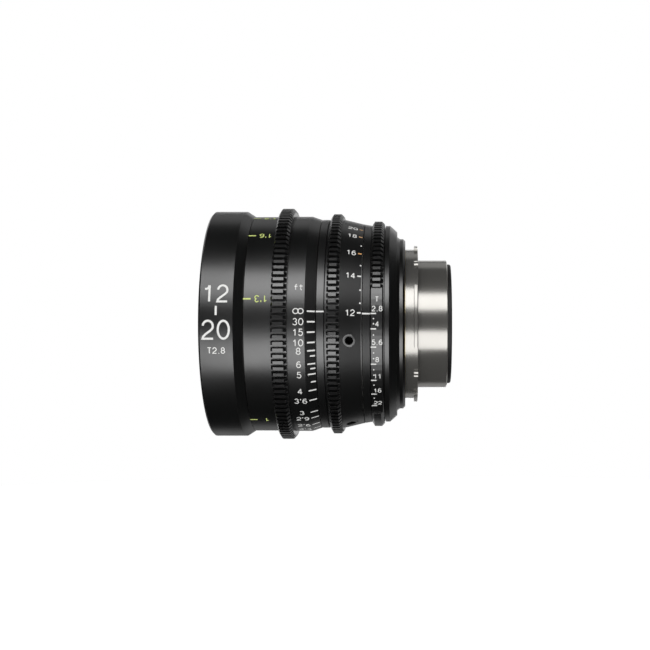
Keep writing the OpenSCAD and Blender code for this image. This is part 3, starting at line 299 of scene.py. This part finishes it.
def addFlags(facts):
    material, tree, _ = newMaterial("blackCloth")
    cloth = tree.nodes.new("ShaderNodeEmission")
    cloth.inputs["Color"].default_value = opaque(facts["colour"])
    tree.links.new(cloth.outputs[0], tree.nodes["Material Output"].inputs["Surface"])
    work = bmesh.new()
    bmesh.ops.create_uvsphere(work, u_segments=facts["sides"], v_segments=facts["rings"],
                              radius=facts["distance"])
    tall = math.sin(math.radians(facts["window"])) * facts["distance"]
    behind = math.cos(math.radians(facts["across"])) * facts["distance"]
    middles = [(face, face.calc_center_median()) for face in work.faces]
    window = [face for face, middle in middles if middle.y > behind and abs(middle.z) < tall]
    bmesh.ops.delete(work, geom=window, context="FACES")
    flatten = facts["below"] / facts["distance"]
    for vert in work.verts:
        vert.co.z = max(vert.co.z, 0) + min(vert.co.z, 0) * flatten
    flags = stageObject(work, "studioFlags", material)
    flags.visible_camera = False
    flags.visible_diffuse = False
    flags.visible_shadow = False


addCamera(photograph)
for boxName, box in softBoxes.items():
    addSoftBox(boxName, box)
setWorld(worldLevels)
addFloor(floorFacts)
addFlags(flagFacts)
print("camera, lamps, floor and flags placed")


# ---- finishes, one for each material slot of the frame, and one near black as painted shade for the lever bushes' threaded holes

# the worn colour lightens the edges: partly edge wear, partly a painted highlight where edges would
# catch light
finishes = {
    "anodised_black": dict(colour=(0.0032, 0.0034, 0.0035), metallic=0, roughness=0.32, ior=2.08,
                           lathe=0.05, grain=0.35, worn=(0.075, 0.073, 0.07), wearAndHighlight=0.5),
    "gear_black": dict(colour=(0.0038, 0.004, 0.0042), metallic=0, roughness=0.29, ior=2.1,
                       lathe=0.05, grain=0.3, worn=(0.12, 0.118, 0.114), wearAndHighlight=0.6),
    "inner_black": dict(colour=(0.012, 0.012, 0.012), metallic=0, roughness=0.5, ior=1.5,
                        lathe=0.35, grain=0.3, worn=(0.03, 0.03, 0.03), wearAndHighlight=0.3),
    "blade_black": dict(colour=(0.02, 0.02, 0.02), metallic=0, roughness=0.45, ior=1.5,
                        lathe=0, grain=0.3, worn=(0.06, 0.06, 0.06), wearAndHighlight=0.3),
    "bare_aluminium": dict(colour=(0.6, 0.61, 0.62), metallic=1, roughness=0.3, ior=1.5,
                           lathe=0.4, grain=0.1, worn=(0.7, 0.71, 0.72), wearAndHighlight=0.3),
    "mount_steel": dict(colour=(0.40, 0.389, 0.366), metallic=0.84, roughness=0.22, ior=1.5,
                        lathe=0.25, grain=0.06, worn=(0.72, 0.7, 0.66), wearAndHighlight=0.4),
    "screw_steel": dict(colour=(0.55, 0.54, 0.52), metallic=1, roughness=0.28, ior=1.5,
                        lathe=0, grain=0.2, worn=(0.65, 0.64, 0.62), wearAndHighlight=0.4),
    "brass": dict(colour=(0.7, 0.53, 0.22), metallic=1, roughness=0.3, ior=1.5,
                  lathe=0.3, grain=0.1, worn=(0.8, 0.63, 0.3), wearAndHighlight=0.3),
    "bronze": dict(colour=(0.5, 0.36, 0.2), metallic=1, roughness=0.35, ior=1.5,
                   lathe=0.3, grain=0.1, worn=(0.6, 0.45, 0.28), wearAndHighlight=0.3),
    "washer_white": dict(colour=(0.8, 0.79, 0.75), metallic=0, roughness=0.5, ior=1.45,
                         lathe=0.1, grain=0.2, worn=(0.85, 0.84, 0.8), wearAndHighlight=0.2),
}
# near black with almost no reflection: painted shade for the threaded holes of the lever bushes
holeShadeFacts = dict(colour=(0.0015, 0.0015, 0.0015), metallic=0, roughness=0.5, ior=1.1,
                  lathe=0.2, grain=0.2, worn=(0.004, 0.004, 0.004), wearAndHighlight=0.2)
reliefFacts = {"strength": 0.6, "depth": 0.012 * mm}
roughnessSwing = 0.06
edgeWearAndHighlightFacts = {
    "reach": 0.16 * mm,   # how far the edge wear and painted edge highlight reach from an edge
    "samples": 4,
    "edgeGain": 8,
    "patchFrom": 0.42,
    "patchGain": 5,
}


def roundLens(tree, place):
    # (place along the lens, distance from its axis), so that turned lines run round it
    split = tree.nodes.new("ShaderNodeSeparateXYZ")
    tree.links.new(place, split.inputs[0])
    squareY = mathNode(tree, "MULTIPLY", split.outputs["Y"], split.outputs["Y"])
    squareZ = mathNode(tree, "MULTIPLY", split.outputs["Z"], split.outputs["Z"])
    radius = mathNode(tree, "SQRT", mathNode(tree, "ADD", squareY, squareZ))
    join = tree.nodes.new("ShaderNodeCombineXYZ")
    tree.links.new(split.outputs["X"], join.inputs["X"])
    tree.links.new(radius, join.inputs["Y"])
    return join.outputs[0]


def wornAndHighlitEdges(tree, place):
    # where a rounded normal differs from the real one there is an edge; edges are lightened in
    # patches, partly as wear and partly as a painted highlight
    rounded = tree.nodes.new("ShaderNodeBevel")
    rounded.samples = edgeWearAndHighlightFacts["samples"]
    rounded.inputs["Radius"].default_value = edgeWearAndHighlightFacts["reach"]
    real = tree.nodes.new("ShaderNodeNewGeometry")
    dot = tree.nodes.new("ShaderNodeVectorMath")
    dot.operation = "DOT_PRODUCT"
    tree.links.new(rounded.outputs[0], dot.inputs[0])
    tree.links.new(real.outputs["Normal"], dot.inputs[1])
    bend = mathNode(tree, "SUBTRACT", 1, dot.outputs["Value"])
    edge = mathNode(tree, "MULTIPLY", bend, edgeWearAndHighlightFacts["edgeGain"], clamp=True)
    above = mathNode(tree, "SUBTRACT", noiseNode(tree, place, "patch"), edgeWearAndHighlightFacts["patchFrom"])
    patch = mathNode(tree, "MULTIPLY", above, edgeWearAndHighlightFacts["patchGain"], clamp=True)
    return mathNode(tree, "MULTIPLY", edge, patch)


def makeFinish(name, facts):
    material, tree, shader = newMaterial(name)
    shader.inputs["Metallic"].default_value = facts["metallic"]
    shader.inputs["IOR"].default_value = facts["ior"]
    place = tree.nodes.new("ShaderNodeTexCoord").outputs["Object"]
    height = mathNode(tree, "MULTIPLY", noiseNode(tree, place, "grain"), facts["grain"])
    if facts["lathe"]:
        lathe = noiseNode(tree, roundLens(tree, place), "lathe")
        height = mathNode(tree, "ADD", height, mathNode(tree, "MULTIPLY", lathe, facts["lathe"]))
    addBump(tree, height, reliefFacts["strength"], reliefFacts["depth"])
    span = (facts["roughness"] - roughnessSwing, facts["roughness"] + roughnessSwing)
    gloss = rangeNode(tree, noiseNode(tree, place, "cloud"), (0, 1), span)
    tree.links.new(gloss, shader.inputs["Roughness"])
    # edges take the lighter worn colour: edge wear and a painted highlight
    amount = mathNode(tree, "MULTIPLY", wornAndHighlitEdges(tree, place), facts["wearAndHighlight"])
    colour = colourMix(tree, amount, facts["colour"], facts["worn"])
    tree.links.new(colour, shader.inputs["Base Color"])
    return material


glassLook = {
    "colour": (0.97, 0.985, 0.98),
    "ior": 1.52,
    "filmIor": 1.38,
    "dust": (0.66, 0.8),   # where in the noise the dust starts, and where it is full
    "haze": 0.12,
}


def makeGlass(name, filmThickness):
    material, tree, shader = newMaterial(name)
    shader.inputs["Base Color"].default_value = opaque(glassLook["colour"])
    shader.inputs["IOR"].default_value = glassLook["ior"]
    shader.inputs["Transmission Weight"].default_value = 1
    shader.inputs["Thin Film Thickness"].default_value = filmThickness
    shader.inputs["Thin Film IOR"].default_value = glassLook["filmIor"]
    place = tree.nodes.new("ShaderNodeTexCoord").outputs["Object"]
    dust = noiseNode(tree, place, "dust")
    haze = rangeNode(tree, dust, glassLook["dust"], (0, glassLook["haze"]))
    tree.links.new(haze, shader.inputs["Roughness"])
    return material


materials = {slot: makeFinish(slot + "_finish", facts) for slot, facts in finishes.items()}
# a near black material, painted shade for the lever's threaded holes
holeShadeMaterial = makeFinish("lever_hole_painted_shade", holeShadeFacts)
for part in frame["record"]["subparts"]:
    if part["material_slot"] in materials:
        held = nodes[part["node"]].data.materials
        held.clear()
        held.append(materials[part["material_slot"]])
# the barrels' skins show in the gaps between the rings, where the photograph is black
for node in ("main_barrel", "front_barrel"):
    nodes[node].data.materials[0] = materials["anodised_black"]
print("finishes made:", len(materials))


# ---- glass with true curves, in millimetres: the rim's radius, front and thickness, how far the
# front and the rear stand out of the rim's planes, and the coating's thickness in nanometres

glassPieces = {
    "front_element": {"body": "barrel", "rim": 40, "front": -74.75, "edge": 3.2,
                      "bulge": (5.5, -6.5), "film": 128},
    "second_element": {"body": "barrel", "rim": 37, "front": -70.15, "edge": 1.8,
                       "bulge": (2.5, -3), "film": 105},
    "focus_front_element": {"body": "focus_group", "rim": 33.5, "front": -60.95, "edge": 2.4,
                            "bulge": (-1, -0.4), "film": 140},
    "focus_rear_element": {"body": "focus_group", "rim": 33.5, "front": -57.452, "edge": 2.4,
                           "bulge": (0.5, 0.9), "film": 110},
    "variator_front_element": {"body": "variator", "rim": 28.5, "front": -50.1, "edge": 1.6,
                               "bulge": (-0.4, -0.3), "film": 125},
    "variator_rear_element": {"body": "variator", "rim": 28.5, "front": -47.219, "edge": 2.4,
                              "bulge": (0.4, -1), "film": 150},
    "compensator_doublet": {"body": "compensator", "rim": 24, "front": -29.023, "edge": 3.6,
                            "bulge": (1.6, 1), "film": 115},
    "rear_group_front_element": {"body": "barrel", "rim": 22, "front": -13.22, "edge": 3,
                                 "bulge": (0.7, 0.8), "film": 135},
    "rear_group_doublet": {"body": "barrel", "rim": 21.4, "front": -3.18, "edge": 6,
                           "bulge": (-1.5, 1.8), "film": 120},
    "rear_element": {"body": "barrel", "rim": 21.4, "front": 7, "edge": 3.4,
                     "bulge": (-1.2, 1.6), "film": 132},
}
glassSteps = 20
glassSides = 96
mergeDistance = 0.0005 * mm


def lensCurve(rim, rimX, bulge, side):
    # points from the axis to the rim, on a sphere that stands bulge out of the rim's plane
    ball = (rim * rim + bulge * bulge) / (2 * abs(bulge))
    points = []
    for step in range(glassSteps + 1):
        radius = rim * step / glassSteps
        fall = ball - math.sqrt(ball * ball - radius * radius)
        points.append((radius, rimX + side * (bulge - math.copysign(fall, bulge))))
    return points


def spunPiece(name, outline, sides):
    # outline points are (radius, place along the lens), closed by the axis or by its last point
    work = bmesh.new()
    verts = [work.verts.new((x * mm, 0, radius * mm)) for radius, x in outline]
    edges = [work.edges.new(pair) for pair in zip(verts, verts[1:])]
    bmesh.ops.spin(work, geom=verts + edges, cent=(0, 0, 0), axis=(1, 0, 0), angle=2 * math.pi,
                   steps=sides, use_merge=True, use_duplicate=False)
    bmesh.ops.remove_doubles(work, verts=work.verts, dist=mergeDistance)
    bmesh.ops.recalc_face_normals(work, faces=work.faces)
    return objectFrom(work, name)


def addGlass(node, facts):
    front = lensCurve(facts["rim"], facts["front"], facts["bulge"][0], -1)
    rear = lensCurve(facts["rim"], facts["front"] + facts["edge"], facts["bulge"][1], 1)
    name = node.replace("_element", "") + "_glass"
    piece = spunPiece(name, front + rear[::-1], glassSides)
    smoothPiece(piece)
    piece.data.materials.append(makeGlass(piece.name + "_coating", facts["film"]))
    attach(piece, facts["body"])
    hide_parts(node)


for node, facts in glassPieces.items():
    addGlass(node, facts)
print("glass made:", len(glassPieces))


# ---- filter thread: a helical ridge on the wall of the front bore

filterThread = {
    "wall": 43,
    "sunk": 0.03,
    "depth": 0.54,
    "pitch": 1,
    "turns": 3.4,
    "start": -84.75,
    "rootShare": 0.44,    # half widths of the ridge, as shares of the pitch
    "crestShare": 0.06,
    "sides": 96,
}


def addFilterThread(facts):
    root = facts["wall"] + facts["sunk"]
    crest = facts["wall"] - facts["depth"]
    rootHalf = facts["pitch"] * facts["rootShare"]
    crestHalf = facts["pitch"] * facts["crestShare"]
    outline = [(-rootHalf, root), (-crestHalf, crest), (crestHalf, crest), (rootHalf, root)]
    work = bmesh.new()
    first = [work.verts.new(((facts["start"] + x) * mm, 0, r * mm)) for x, r in outline]
    loop = [work.edges.new(pair) for pair in zip(first, first[1:] + first[:1])]
    steps = round(facts["sides"] * facts["turns"])
    advance = facts["pitch"] * facts["turns"] / steps * mm
    made = bmesh.ops.spin(work, geom=first + loop, cent=(0, 0, 0), axis=(1, 0, 0),
                          dvec=(advance, 0, 0), angle=2 * math.pi * facts["turns"],
                          steps=steps, use_duplicate=False)
    last = [item for item in made["geom_last"] if isinstance(item, bmesh.types.BMVert)]
    bmesh.ops.contextual_create(work, geom=first)
    bmesh.ops.contextual_create(work, geom=last)
    bmesh.ops.recalc_face_normals(work, faces=work.faces)
    piece = objectFrom(work, "filter_thread_ridge")
    smoothPiece(piece)
    piece.data.materials.append(materials["anodised_black"])
    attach(piece, "barrel")


addFilterThread(filterThread)
print("filter thread made")


# ---- threaded bushes for the zoom lever, with radii from the thread's axis and heights from the
# lens's axis

leverBush = {
    "x": -27.1,
    "angles": (8.9, 72, 252),
    "wall": 1.2, "crest": 1.05, "shell": 1.24, "mouth": 1.66, "outer": 2.5,
    "pitch": 0.25, "turns": 5,
    "under": 41.03, "floor": 41.06, "skirt": 42.2, "threadTop": 42.55, "rim": 42.88, "face": 43.0,
    "bevel": 0.08,
    "sides": 48,
    "shadeShare": 0.95,    # of the mouth: faces nearer the thread's axis get the painted shade
}


def bushOutline(facts):
    outline = [(0, facts["floor"]), (facts["wall"], facts["floor"])]
    for turn in range(facts["turns"]):
        height = facts["threadTop"] - (facts["turns"] - turn) * facts["pitch"]
        outline += [(facts["wall"], height), (facts["crest"], height + facts["pitch"] / 2)]
    outline += [
        (facts["wall"], facts["threadTop"]),
        (facts["wall"], facts["face"]),
        (facts["mouth"], facts["face"]),
        (facts["outer"] - facts["bevel"], facts["rim"]),
        (facts["outer"], facts["rim"] - facts["bevel"]),
        (facts["outer"], facts["skirt"]),
        (facts["shell"], facts["skirt"]),
        (facts["shell"], facts["under"]),
        (0, facts["under"]),
    ]
    return outline


def addLeverBush(place, angle, facts):
    piece = spunPiece(f"zoom_lever_bush_{place}", bushOutline(facts), facts["sides"])
    turn = math.radians(angle)
    away = Vector((0, -math.cos(turn), -math.sin(turn)))
    across = Vector((0, -math.sin(turn), math.cos(turn)))
    foot = Vector((facts["x"] * mm, 0, 0))
    for vert in piece.data.vertices:
        x, y, z = vert.co
        vert.co = Vector((facts["x"] * mm + y, 0, 0)) + away * x + across * z
    piece.data.materials.append(materials["anodised_black"])
    piece.data.materials.append(holeShadeMaterial)
    # faces near the thread's axis, the bore and the flat ring at its mouth, are painted near black
    # as shade
    shadeRadius = facts["mouth"] * facts["shadeShare"] * mm
    for face in piece.data.polygons:
        spoke = face.center - foot
        face.material_index = int((spoke - away * spoke.dot(away)).length < shadeRadius)
    smoothPiece(piece)
    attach(piece, "zoom")


for place, angle in enumerate(leverBush["angles"], 1):
    addLeverBush(place, angle, leverBush)


# ---- land at the zoom ring's rear edge

zoomLand = {"root": 42, "skin": 42.23, "edges": (-22.62, -22.22), "bevels": (-22.58, -22.26),
            "sides": 192}


def addZoomLand(facts):
    front, rear = facts["edges"]
    frontBevel, rearBevel = facts["bevels"]
    outline = [(facts["root"], front), (facts["skin"], frontBevel), (facts["skin"], rearBevel),
               (facts["root"], rear), (facts["root"], front)]
    piece = spunPiece("zoom_rear_land", outline, facts["sides"])
    piece.data.materials.append(materials["anodised_black"])
    smoothPiece(piece)
    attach(piece, "zoom")


addZoomLand(zoomLand)
print("lever bushes and zoom land made")


# ---- strokes and signs of the marks, flat, in millimetres once they have a size

glyphStep = 18      # degrees from one point of an arc to the next
leastSteps = 3
glyphCell = 0.86    # room that a digit takes, as a share of its height


def bow(x, y, across, up, start, end):
    # points on an arc, from one angle to another in degrees; 0 is to the right and 90 is up
    steps = max(leastSteps, round(abs(end - start) / glyphStep))
    angles = [math.radians(start + (end - start) * step / steps) for step in range(steps + 1)]
    return [(x + across * math.cos(angle), y + up * math.sin(angle)) for angle in angles]


# width, then the middle line of each stroke, for a sign 1 high
glyphs = {
    "0": (0.62, [bow(0.31, 0.5, 0.31, 0.5, 90, 450)]),
    "1": (0.40, [[(0.0, 0.77), (0.12, 0.785), (0.21, 0.85), (0.26, 1)], [(0.27, 1), (0.27, 0)]]),
    "2": (0.60, [bow(0.3, 0.7, 0.28, 0.3, 175, -25)
                 + [(0.45, 0.46), (0.16, 0.24), (0.04, 0.12), (0.0, 0), (0.59, 0)]]),
    "3": (0.56, [bow(0.27, 0.755, 0.235, 0.245, 160, -80),
                 bow(0.27, 0.255, 0.28, 0.255, 82, -162)]),
    "4": (0.62, [[(0.45, 0), (0.45, 1)], [(0.45, 0.98), (0.0, 0.27)],
                 [(0.0, 0.27), (0.62, 0.27)]]),
    "5": (0.58, [[(0.52, 1), (0.12, 1), (0.06, 0.5)], bow(0.27, 0.33, 0.3, 0.33, 140, -155)]),
    "6": (0.58, [bow(0.29, 0.31, 0.28, 0.31, 90, 450), bow(0.34, 0.42, 0.33, 0.58, 55, 188)]),
    "7": (0.56, [[(0.0, 1), (0.56, 1), (0.34, 0.5), (0.2, 0)]]),
    "8": (0.58, [bow(0.29, 0.755, 0.235, 0.245, -90, 270),
                 bow(0.29, 0.26, 0.285, 0.26, 90, 450)]),
    "9": (0.58, [bow(0.29, 0.69, 0.28, 0.31, -90, 270), bow(0.24, 0.58, 0.33, 0.58, 235, 368)]),
    "T": (0.60, [[(0.0, 1), (0.6, 1)], [(0.3, 1), (0.3, 0)]]),
    "f": (0.34, [[(0.14, 0), (0.14, 0.8)] + bow(0.32, 0.8, 0.18, 0.2, 170, 80),
                 [(-0.08, 0.64), (0.44, 0.64)]]),
    "t": (0.34, [[(0.14, 0.95), (0.14, 0.2)] + bow(0.32, 0.2, 0.18, 0.2, 190, 275),
                 [(-0.08, 0.68), (0.44, 0.68)]]),
    "'": (0.10, [[(0.05, 1.02), (0.05, 0.74)]]),
    ".": (0.10, [[(0.05, -0.07), (0.05, 0.07)]]),
    "∞": (1.86, [bow(0.5, 0.5, 0.49, 0.5, 0, 360), bow(1.39, 0.5, 0.49, 0.5, 180, 540)]),
}
# room to the next sign, where that isn't a digit's cell
glyphRooms = {"'": 0.34, ".": 0.5, "f": 1.12, "t": 0.6, "∞": 1.86}
closedWithin = 0.001
leastMitre = 0.6    # keeps the corner of a sharp bend from running out


def flatStroke(flat, points, width):
    # a ribbon along the points, with mitred corners
    closed = math.dist(points[0], points[-1]) < closedWithin
    count = len(points)
    sides = []
    for place, (x, y) in enumerate(points):
        before = points[place - 1] if place else (points[-2] if closed else None)
        after = points[place + 1] if place + 1 < count else (points[1] if closed else None)
        ways = []
        for start, end in ((before, (x, y)), ((x, y), after)):
            if start and end:
                ways.append((Vector(end) - Vector(start)).normalized())
        along = sum(ways[1:], ways[0]).normalized()
        across = Vector((-along.y, along.x))
        reach = width / 2 / max(leastMitre, along.dot(ways[0]))
        sides.append((flat.verts.new((x + across.x * reach, y + across.y * reach, 0)),
                      flat.verts.new((x - across.x * reach, y - across.y * reach, 0))))
    for (leftA, rightA), (leftB, rightB) in zip(sides, sides[1:]):
        flat.faces.new((leftA, rightA, rightB, leftB))


def flatText(body, height, stroke, stretch=1.0):
    # the signs side by side, with their outer height, centred on the origin
    flat = bmesh.new()
    size = height - stroke
    cursor = 0
    ends = []
    for sign in body:
        width, strokes = glyphs[sign]
        room = glyphRooms.get(sign, glyphCell)
        left = cursor + (room - width) / 2
        for points in strokes:
            placed = [((left + x) * size * stretch, (y - 0.5) * size) for x, y in points]
            flatStroke(flat, placed, stroke)
        ends += [left, left + width]
        cursor += room
    middle = (ends[0] + ends[-1]) / 2 * size * stretch
    bmesh.ops.translate(flat, verts=flat.verts, vec=(-middle, 0, 0))
    return flat


def flatBar(length, width):
    flat = bmesh.new()
    x, y = length / 2, width / 2
    corners = [(-x, -y, 0), (x, -y, 0), (x, y, 0), (-x, y, 0)]
    flat.faces.new([flat.verts.new(corner) for corner in corners])
    return flat


def flatDot(radius):
    flat = bmesh.new()
    bmesh.ops.create_circle(flat, cap_ends=True, radius=radius, segments=markFacts["dotSides"])
    return flat


# ---- marks wrapped on the rings. Angles are in degrees round the axis: 0 faces the camera and 90
# is below.

# (place along the lens, radius) along each part's skin, in millimetres
skins = {
    "barrel": [(-85.25, 47.5), (-71.85, 47.5), (-68.45, 45.3)],
    "front_index": [(-39.95, 44.1), (-36.85, 44.1)],
    "rear_index": [(-22.1, 42.1), (-18.9, 41.6)],
    "focus": [(-68.15, 45.3), (-57.25, 45.3), (-51.25, 45.45), (-44.3, 45.45), (-40.25, 44.05)],
    "zoom": [(-31, 44.2), (-22.4, 42.15)],
    "iris": [(-18.8, 42.6), (-13.9, 42.6)],
}
markColours = {
    "white": (0.84, 0.84, 0.82),
    "orange": (0.80, 0.41, 0.15),
    "brown": (0.66, 0.40, 0.20),
    "lime": (0.70, 0.81, 0.24),
}
paintFacts = {
    "roughness": 0.5,
    "fade": (0.3, 0.5),   # where in the noise the paint is faded, and where it is whole
    "faded": 0.86,
    "strength": 0.3,
    "depth": 0.01 * mm,
}
markFacts = {"proud": 0.03, "sunk": 0.04, "strip": 0.8, "tickWidth": 0.6, "dotSides": 20}
cutWithin = 0.0001


def radiusAt(skin, x):
    points = skins[skin]
    for (x0, r0), (x1, r1) in zip(points, points[1:]):
        if x <= x1:
            return r0 + (r1 - r0) * (x - x0) / (x1 - x0)
    return points[-1][1]


def wrapMark(pool, flat, skin, x, angle, turned=False):
    # strips narrow enough to follow the curve, then a thin slab laid on the skin and let into it
    low = min(v.co.y for v in flat.verts)
    high = max(v.co.y for v in flat.verts)
    for cut in range(1, int((high - low) / markFacts["strip"]) + 1):
        bmesh.ops.bisect_plane(flat, geom=flat.verts[:] + flat.edges[:] + flat.faces[:],
                               dist=cutWithin, plane_co=(0, low + cut * markFacts["strip"], 0),
                               plane_no=(0, 1, 0))
    lower = set(flat.verts)
    bmesh.ops.extrude_face_region(flat, geom=flat.faces[:], use_keep_orig=True)
    way = -1 if turned else 1
    for vert in flat.verts:
        lift = -markFacts["sunk"] if vert in lower else markFacts["proud"]
        along = x + way * vert.co.x
        skinRadius = radiusAt(skin, along)
        turn = math.radians(angle) - way * vert.co.y / skinRadius
        radius = skinRadius + lift
        vert.co = Vector((along, -radius * math.cos(turn), -radius * math.sin(turn))) * mm
    bmesh.ops.recalc_face_normals(flat, faces=flat.faces)
    mesh = bpy.data.meshes.new("mark")
    flat.to_mesh(mesh)
    flat.free()
    pool.from_mesh(mesh)
    bpy.data.meshes.remove(mesh)


def makePaint(name, colour):
    material, tree, shader = newMaterial(name)
    shader.inputs["Roughness"].default_value = paintFacts["roughness"]
    place = tree.nodes.new("ShaderNodeTexCoord").outputs["Object"]
    worn = noiseNode(tree, place, "paint")
    whole = rangeNode(tree, worn, paintFacts["fade"], (0, 1))
    faded = [paintFacts["faded"] * value for value in colour]
    tree.links.new(colourMix(tree, whole, faded, colour), shader.inputs["Base Color"])
    addBump(tree, worn, paintFacts["strength"], paintFacts["depth"])
    return material


paints = {name: makePaint(name + "_fill", colour) for name, colour in markColours.items()}
markPools = {}


def poolFor(body, colour):
    return markPools.setdefault((body, colour), bmesh.new())


# ---- index lines and dials. Offsets are in degrees from each dial's first mark.

indexAngle = -6.25
zoomAngle = -5.8
irisAngle = -5.45
farAngle = 174.2
tickWidth = markFacts["tickWidth"]

focusOffsets = [
    ("∞", 0), ("30", 5.2), ("15", 10.4), ("10", 15.6), ("8", 19.8), ("", 22.6), ("6", 26.8),
    ("", 29.4), ("5", 32.5), ("", 37.1), ("4", 42.3), ("3'6", 48.9), ("3", 58.5), ("2'9", 64.3),
    ("2'6", 72.8), ("2'3", 80.8), ("2", 93.5), ("1'9", 110.6), ("1'6", 134.4), ("1'3", 173.4),
    ("1", 245),
]
focusScales = (
    {"turned": False, "colour": "white", "base": indexAngle, "numberX": -46.76, "tickX": -41.83},
    {"turned": True, "colour": "lime", "base": farAngle, "numberX": -61.35, "tickX": -66.7},
)
focusFacts = {
    "tick": 2.95, "shortTick": 1.9, "shortShift": 0.5,
    "height": 2.85, "endlessHeight": 2.35, "stroke": 0.36, "stretch": 1.08,
    "unitHeight": 2.65, "unitStroke": 0.34, "unitAbove": 12.1,
}

# number, degrees above the index and the colour of its line
zoomOffsets = [("12", 0, "white"), ("14", 20.4, "white"), ("16", 35.4, "orange"),
               ("18", 50.2, "brown"), ("20", 59.6, "brown")]
zoomDots = [5.2, 12.4, 27.2, 41.9]
zoomFacts = {
    "tick": 1.6, "tickX": -23.2,
    "height": 2.6, "stroke": 0.36, "stretch": 1.08, "numberX": -26.65,
    "dot": 0.35, "dotX": -22.85,
}

# number, degrees below the index, and dots between it and the number before
irisOffsets = [("2.8", 0, 0), ("4", 8.1, 2), ("5.6", 17.8, 1), ("8", 27.3, 2), ("11", 37.1, 2),
               ("16", 46.6, 1), ("22", 56.2, 1)]
irisDotShare = 1 / 3   # of the way between two numbers, from one dot to the next
irisFacts = {
    "tick": 2.15, "tickWidth": 0.5, "tickX": -17.6,
    "height": 2.2, "stroke": 0.3, "stretch": 1.05, "numberX": -16.15, "numberAbove": 2.6,
    "dot": 0.28, "dotX": -17.56,
    "letterX": -16.25, "letterAngle": -13.1,
}

frontTextX = -78.3
# body of the text, height, stroke, stretch and angle
frontTexts = [("12", 7.3, 0.82, 1.0, -14.4), ("20", 7.8, 0.84, 1.0, 2.75),
              ("T2.8", 2.6, 0.36, 1.05, 12.56)]
# length, width, skin, place along the lens, angle and colour
indexBars = [
    (0.8, 3.6, "barrel", frontTextX, indexAngle, "white"),
    (3.0, tickWidth, "front_index", -38.4, indexAngle, "white"),
    (3.1, tickWidth, "rear_index", -20.5, irisAngle, "white"),
    (2.8, tickWidth, "barrel", -70.1, farAngle, "lime"),
]


def addFocusScale(scale, facts):
    pool = poolFor("focus", scale["colour"])
    numberX, turned = scale["numberX"], scale["turned"]
    for label, offset in focusOffsets:
        angle = scale["base"] + offset
        length = facts["tick"] if label else facts["shortTick"]
        shift = 0 if label else facts["shortShift"] * (-1 if turned else 1)
        wrapMark(pool, flatBar(length, tickWidth), "focus", scale["tickX"] + shift, angle)
        if label:
            height = facts["endlessHeight"] if label == "∞" else facts["height"]
            text = flatText(label, height, facts["stroke"], facts["stretch"])
            wrapMark(pool, text, "focus", numberX, angle, turned)
    unit = flatText("ft", facts["unitHeight"], facts["unitStroke"])
    wrapMark(pool, unit, "focus", numberX, scale["base"] - facts["unitAbove"], turned)


def addZoomScale(facts):
    whites = poolFor("zoom", "white")
    for label, offset, colour in zoomOffsets:
        angle = zoomAngle - offset
        tick = flatBar(facts["tick"], tickWidth)
        wrapMark(poolFor("zoom", colour), tick, "zoom", facts["tickX"], angle)
        text = flatText(label, facts["height"], facts["stroke"], facts["stretch"])
        wrapMark(whites, text, "zoom", facts["numberX"], angle)
    for offset in zoomDots:
        wrapMark(whites, flatDot(facts["dot"]), "zoom", facts["dotX"], zoomAngle - offset)


def addIrisScale(facts):
    pool = poolFor("iris", "white")
    before = 0
    for label, offset, dots in irisOffsets:
        angle = irisAngle + offset
        tick = flatBar(facts["tick"], facts["tickWidth"])
        wrapMark(pool, tick, "iris", facts["tickX"], angle)
        text = flatText(label, facts["height"], facts["stroke"], facts["stretch"])
        wrapMark(pool, text, "iris", facts["numberX"], angle - facts["numberAbove"])
        for dot in range(1, dots + 1):
            between = irisAngle + before + (offset - before) * irisDotShare * dot
            wrapMark(pool, flatDot(facts["dot"]), "iris", facts["dotX"], between)
        before = offset
    letter = flatText("T", facts["height"], facts["stroke"])
    wrapMark(pool, letter, "iris", facts["letterX"], facts["letterAngle"])


def addBarrelMarks():
    for body, height, stroke, stretch, angle in frontTexts:
        text = flatText(body, height, stroke, stretch)
        wrapMark(poolFor("barrel", "white"), text, "barrel", frontTextX, angle)
    for length, width, skin, x, angle, colour in indexBars:
        wrapMark(poolFor("barrel", colour), flatBar(length, width), skin, x, angle)


def finishMarks():
    for (body, colour), pool in markPools.items():
        piece = objectFrom(pool, f"{body}_marks_{colour}")
        piece.data.materials.append(paints[colour])
        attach(piece, body)
        print(piece.name, len(piece.data.polygons), "faces")


for scale in focusScales:
    addFocusScale(scale, focusFacts)
addZoomScale(zoomFacts)
addIrisScale(irisFacts)
addBarrelMarks()
finishMarks()

bpy.context.scene.view_settings.view_transform = "Standard"
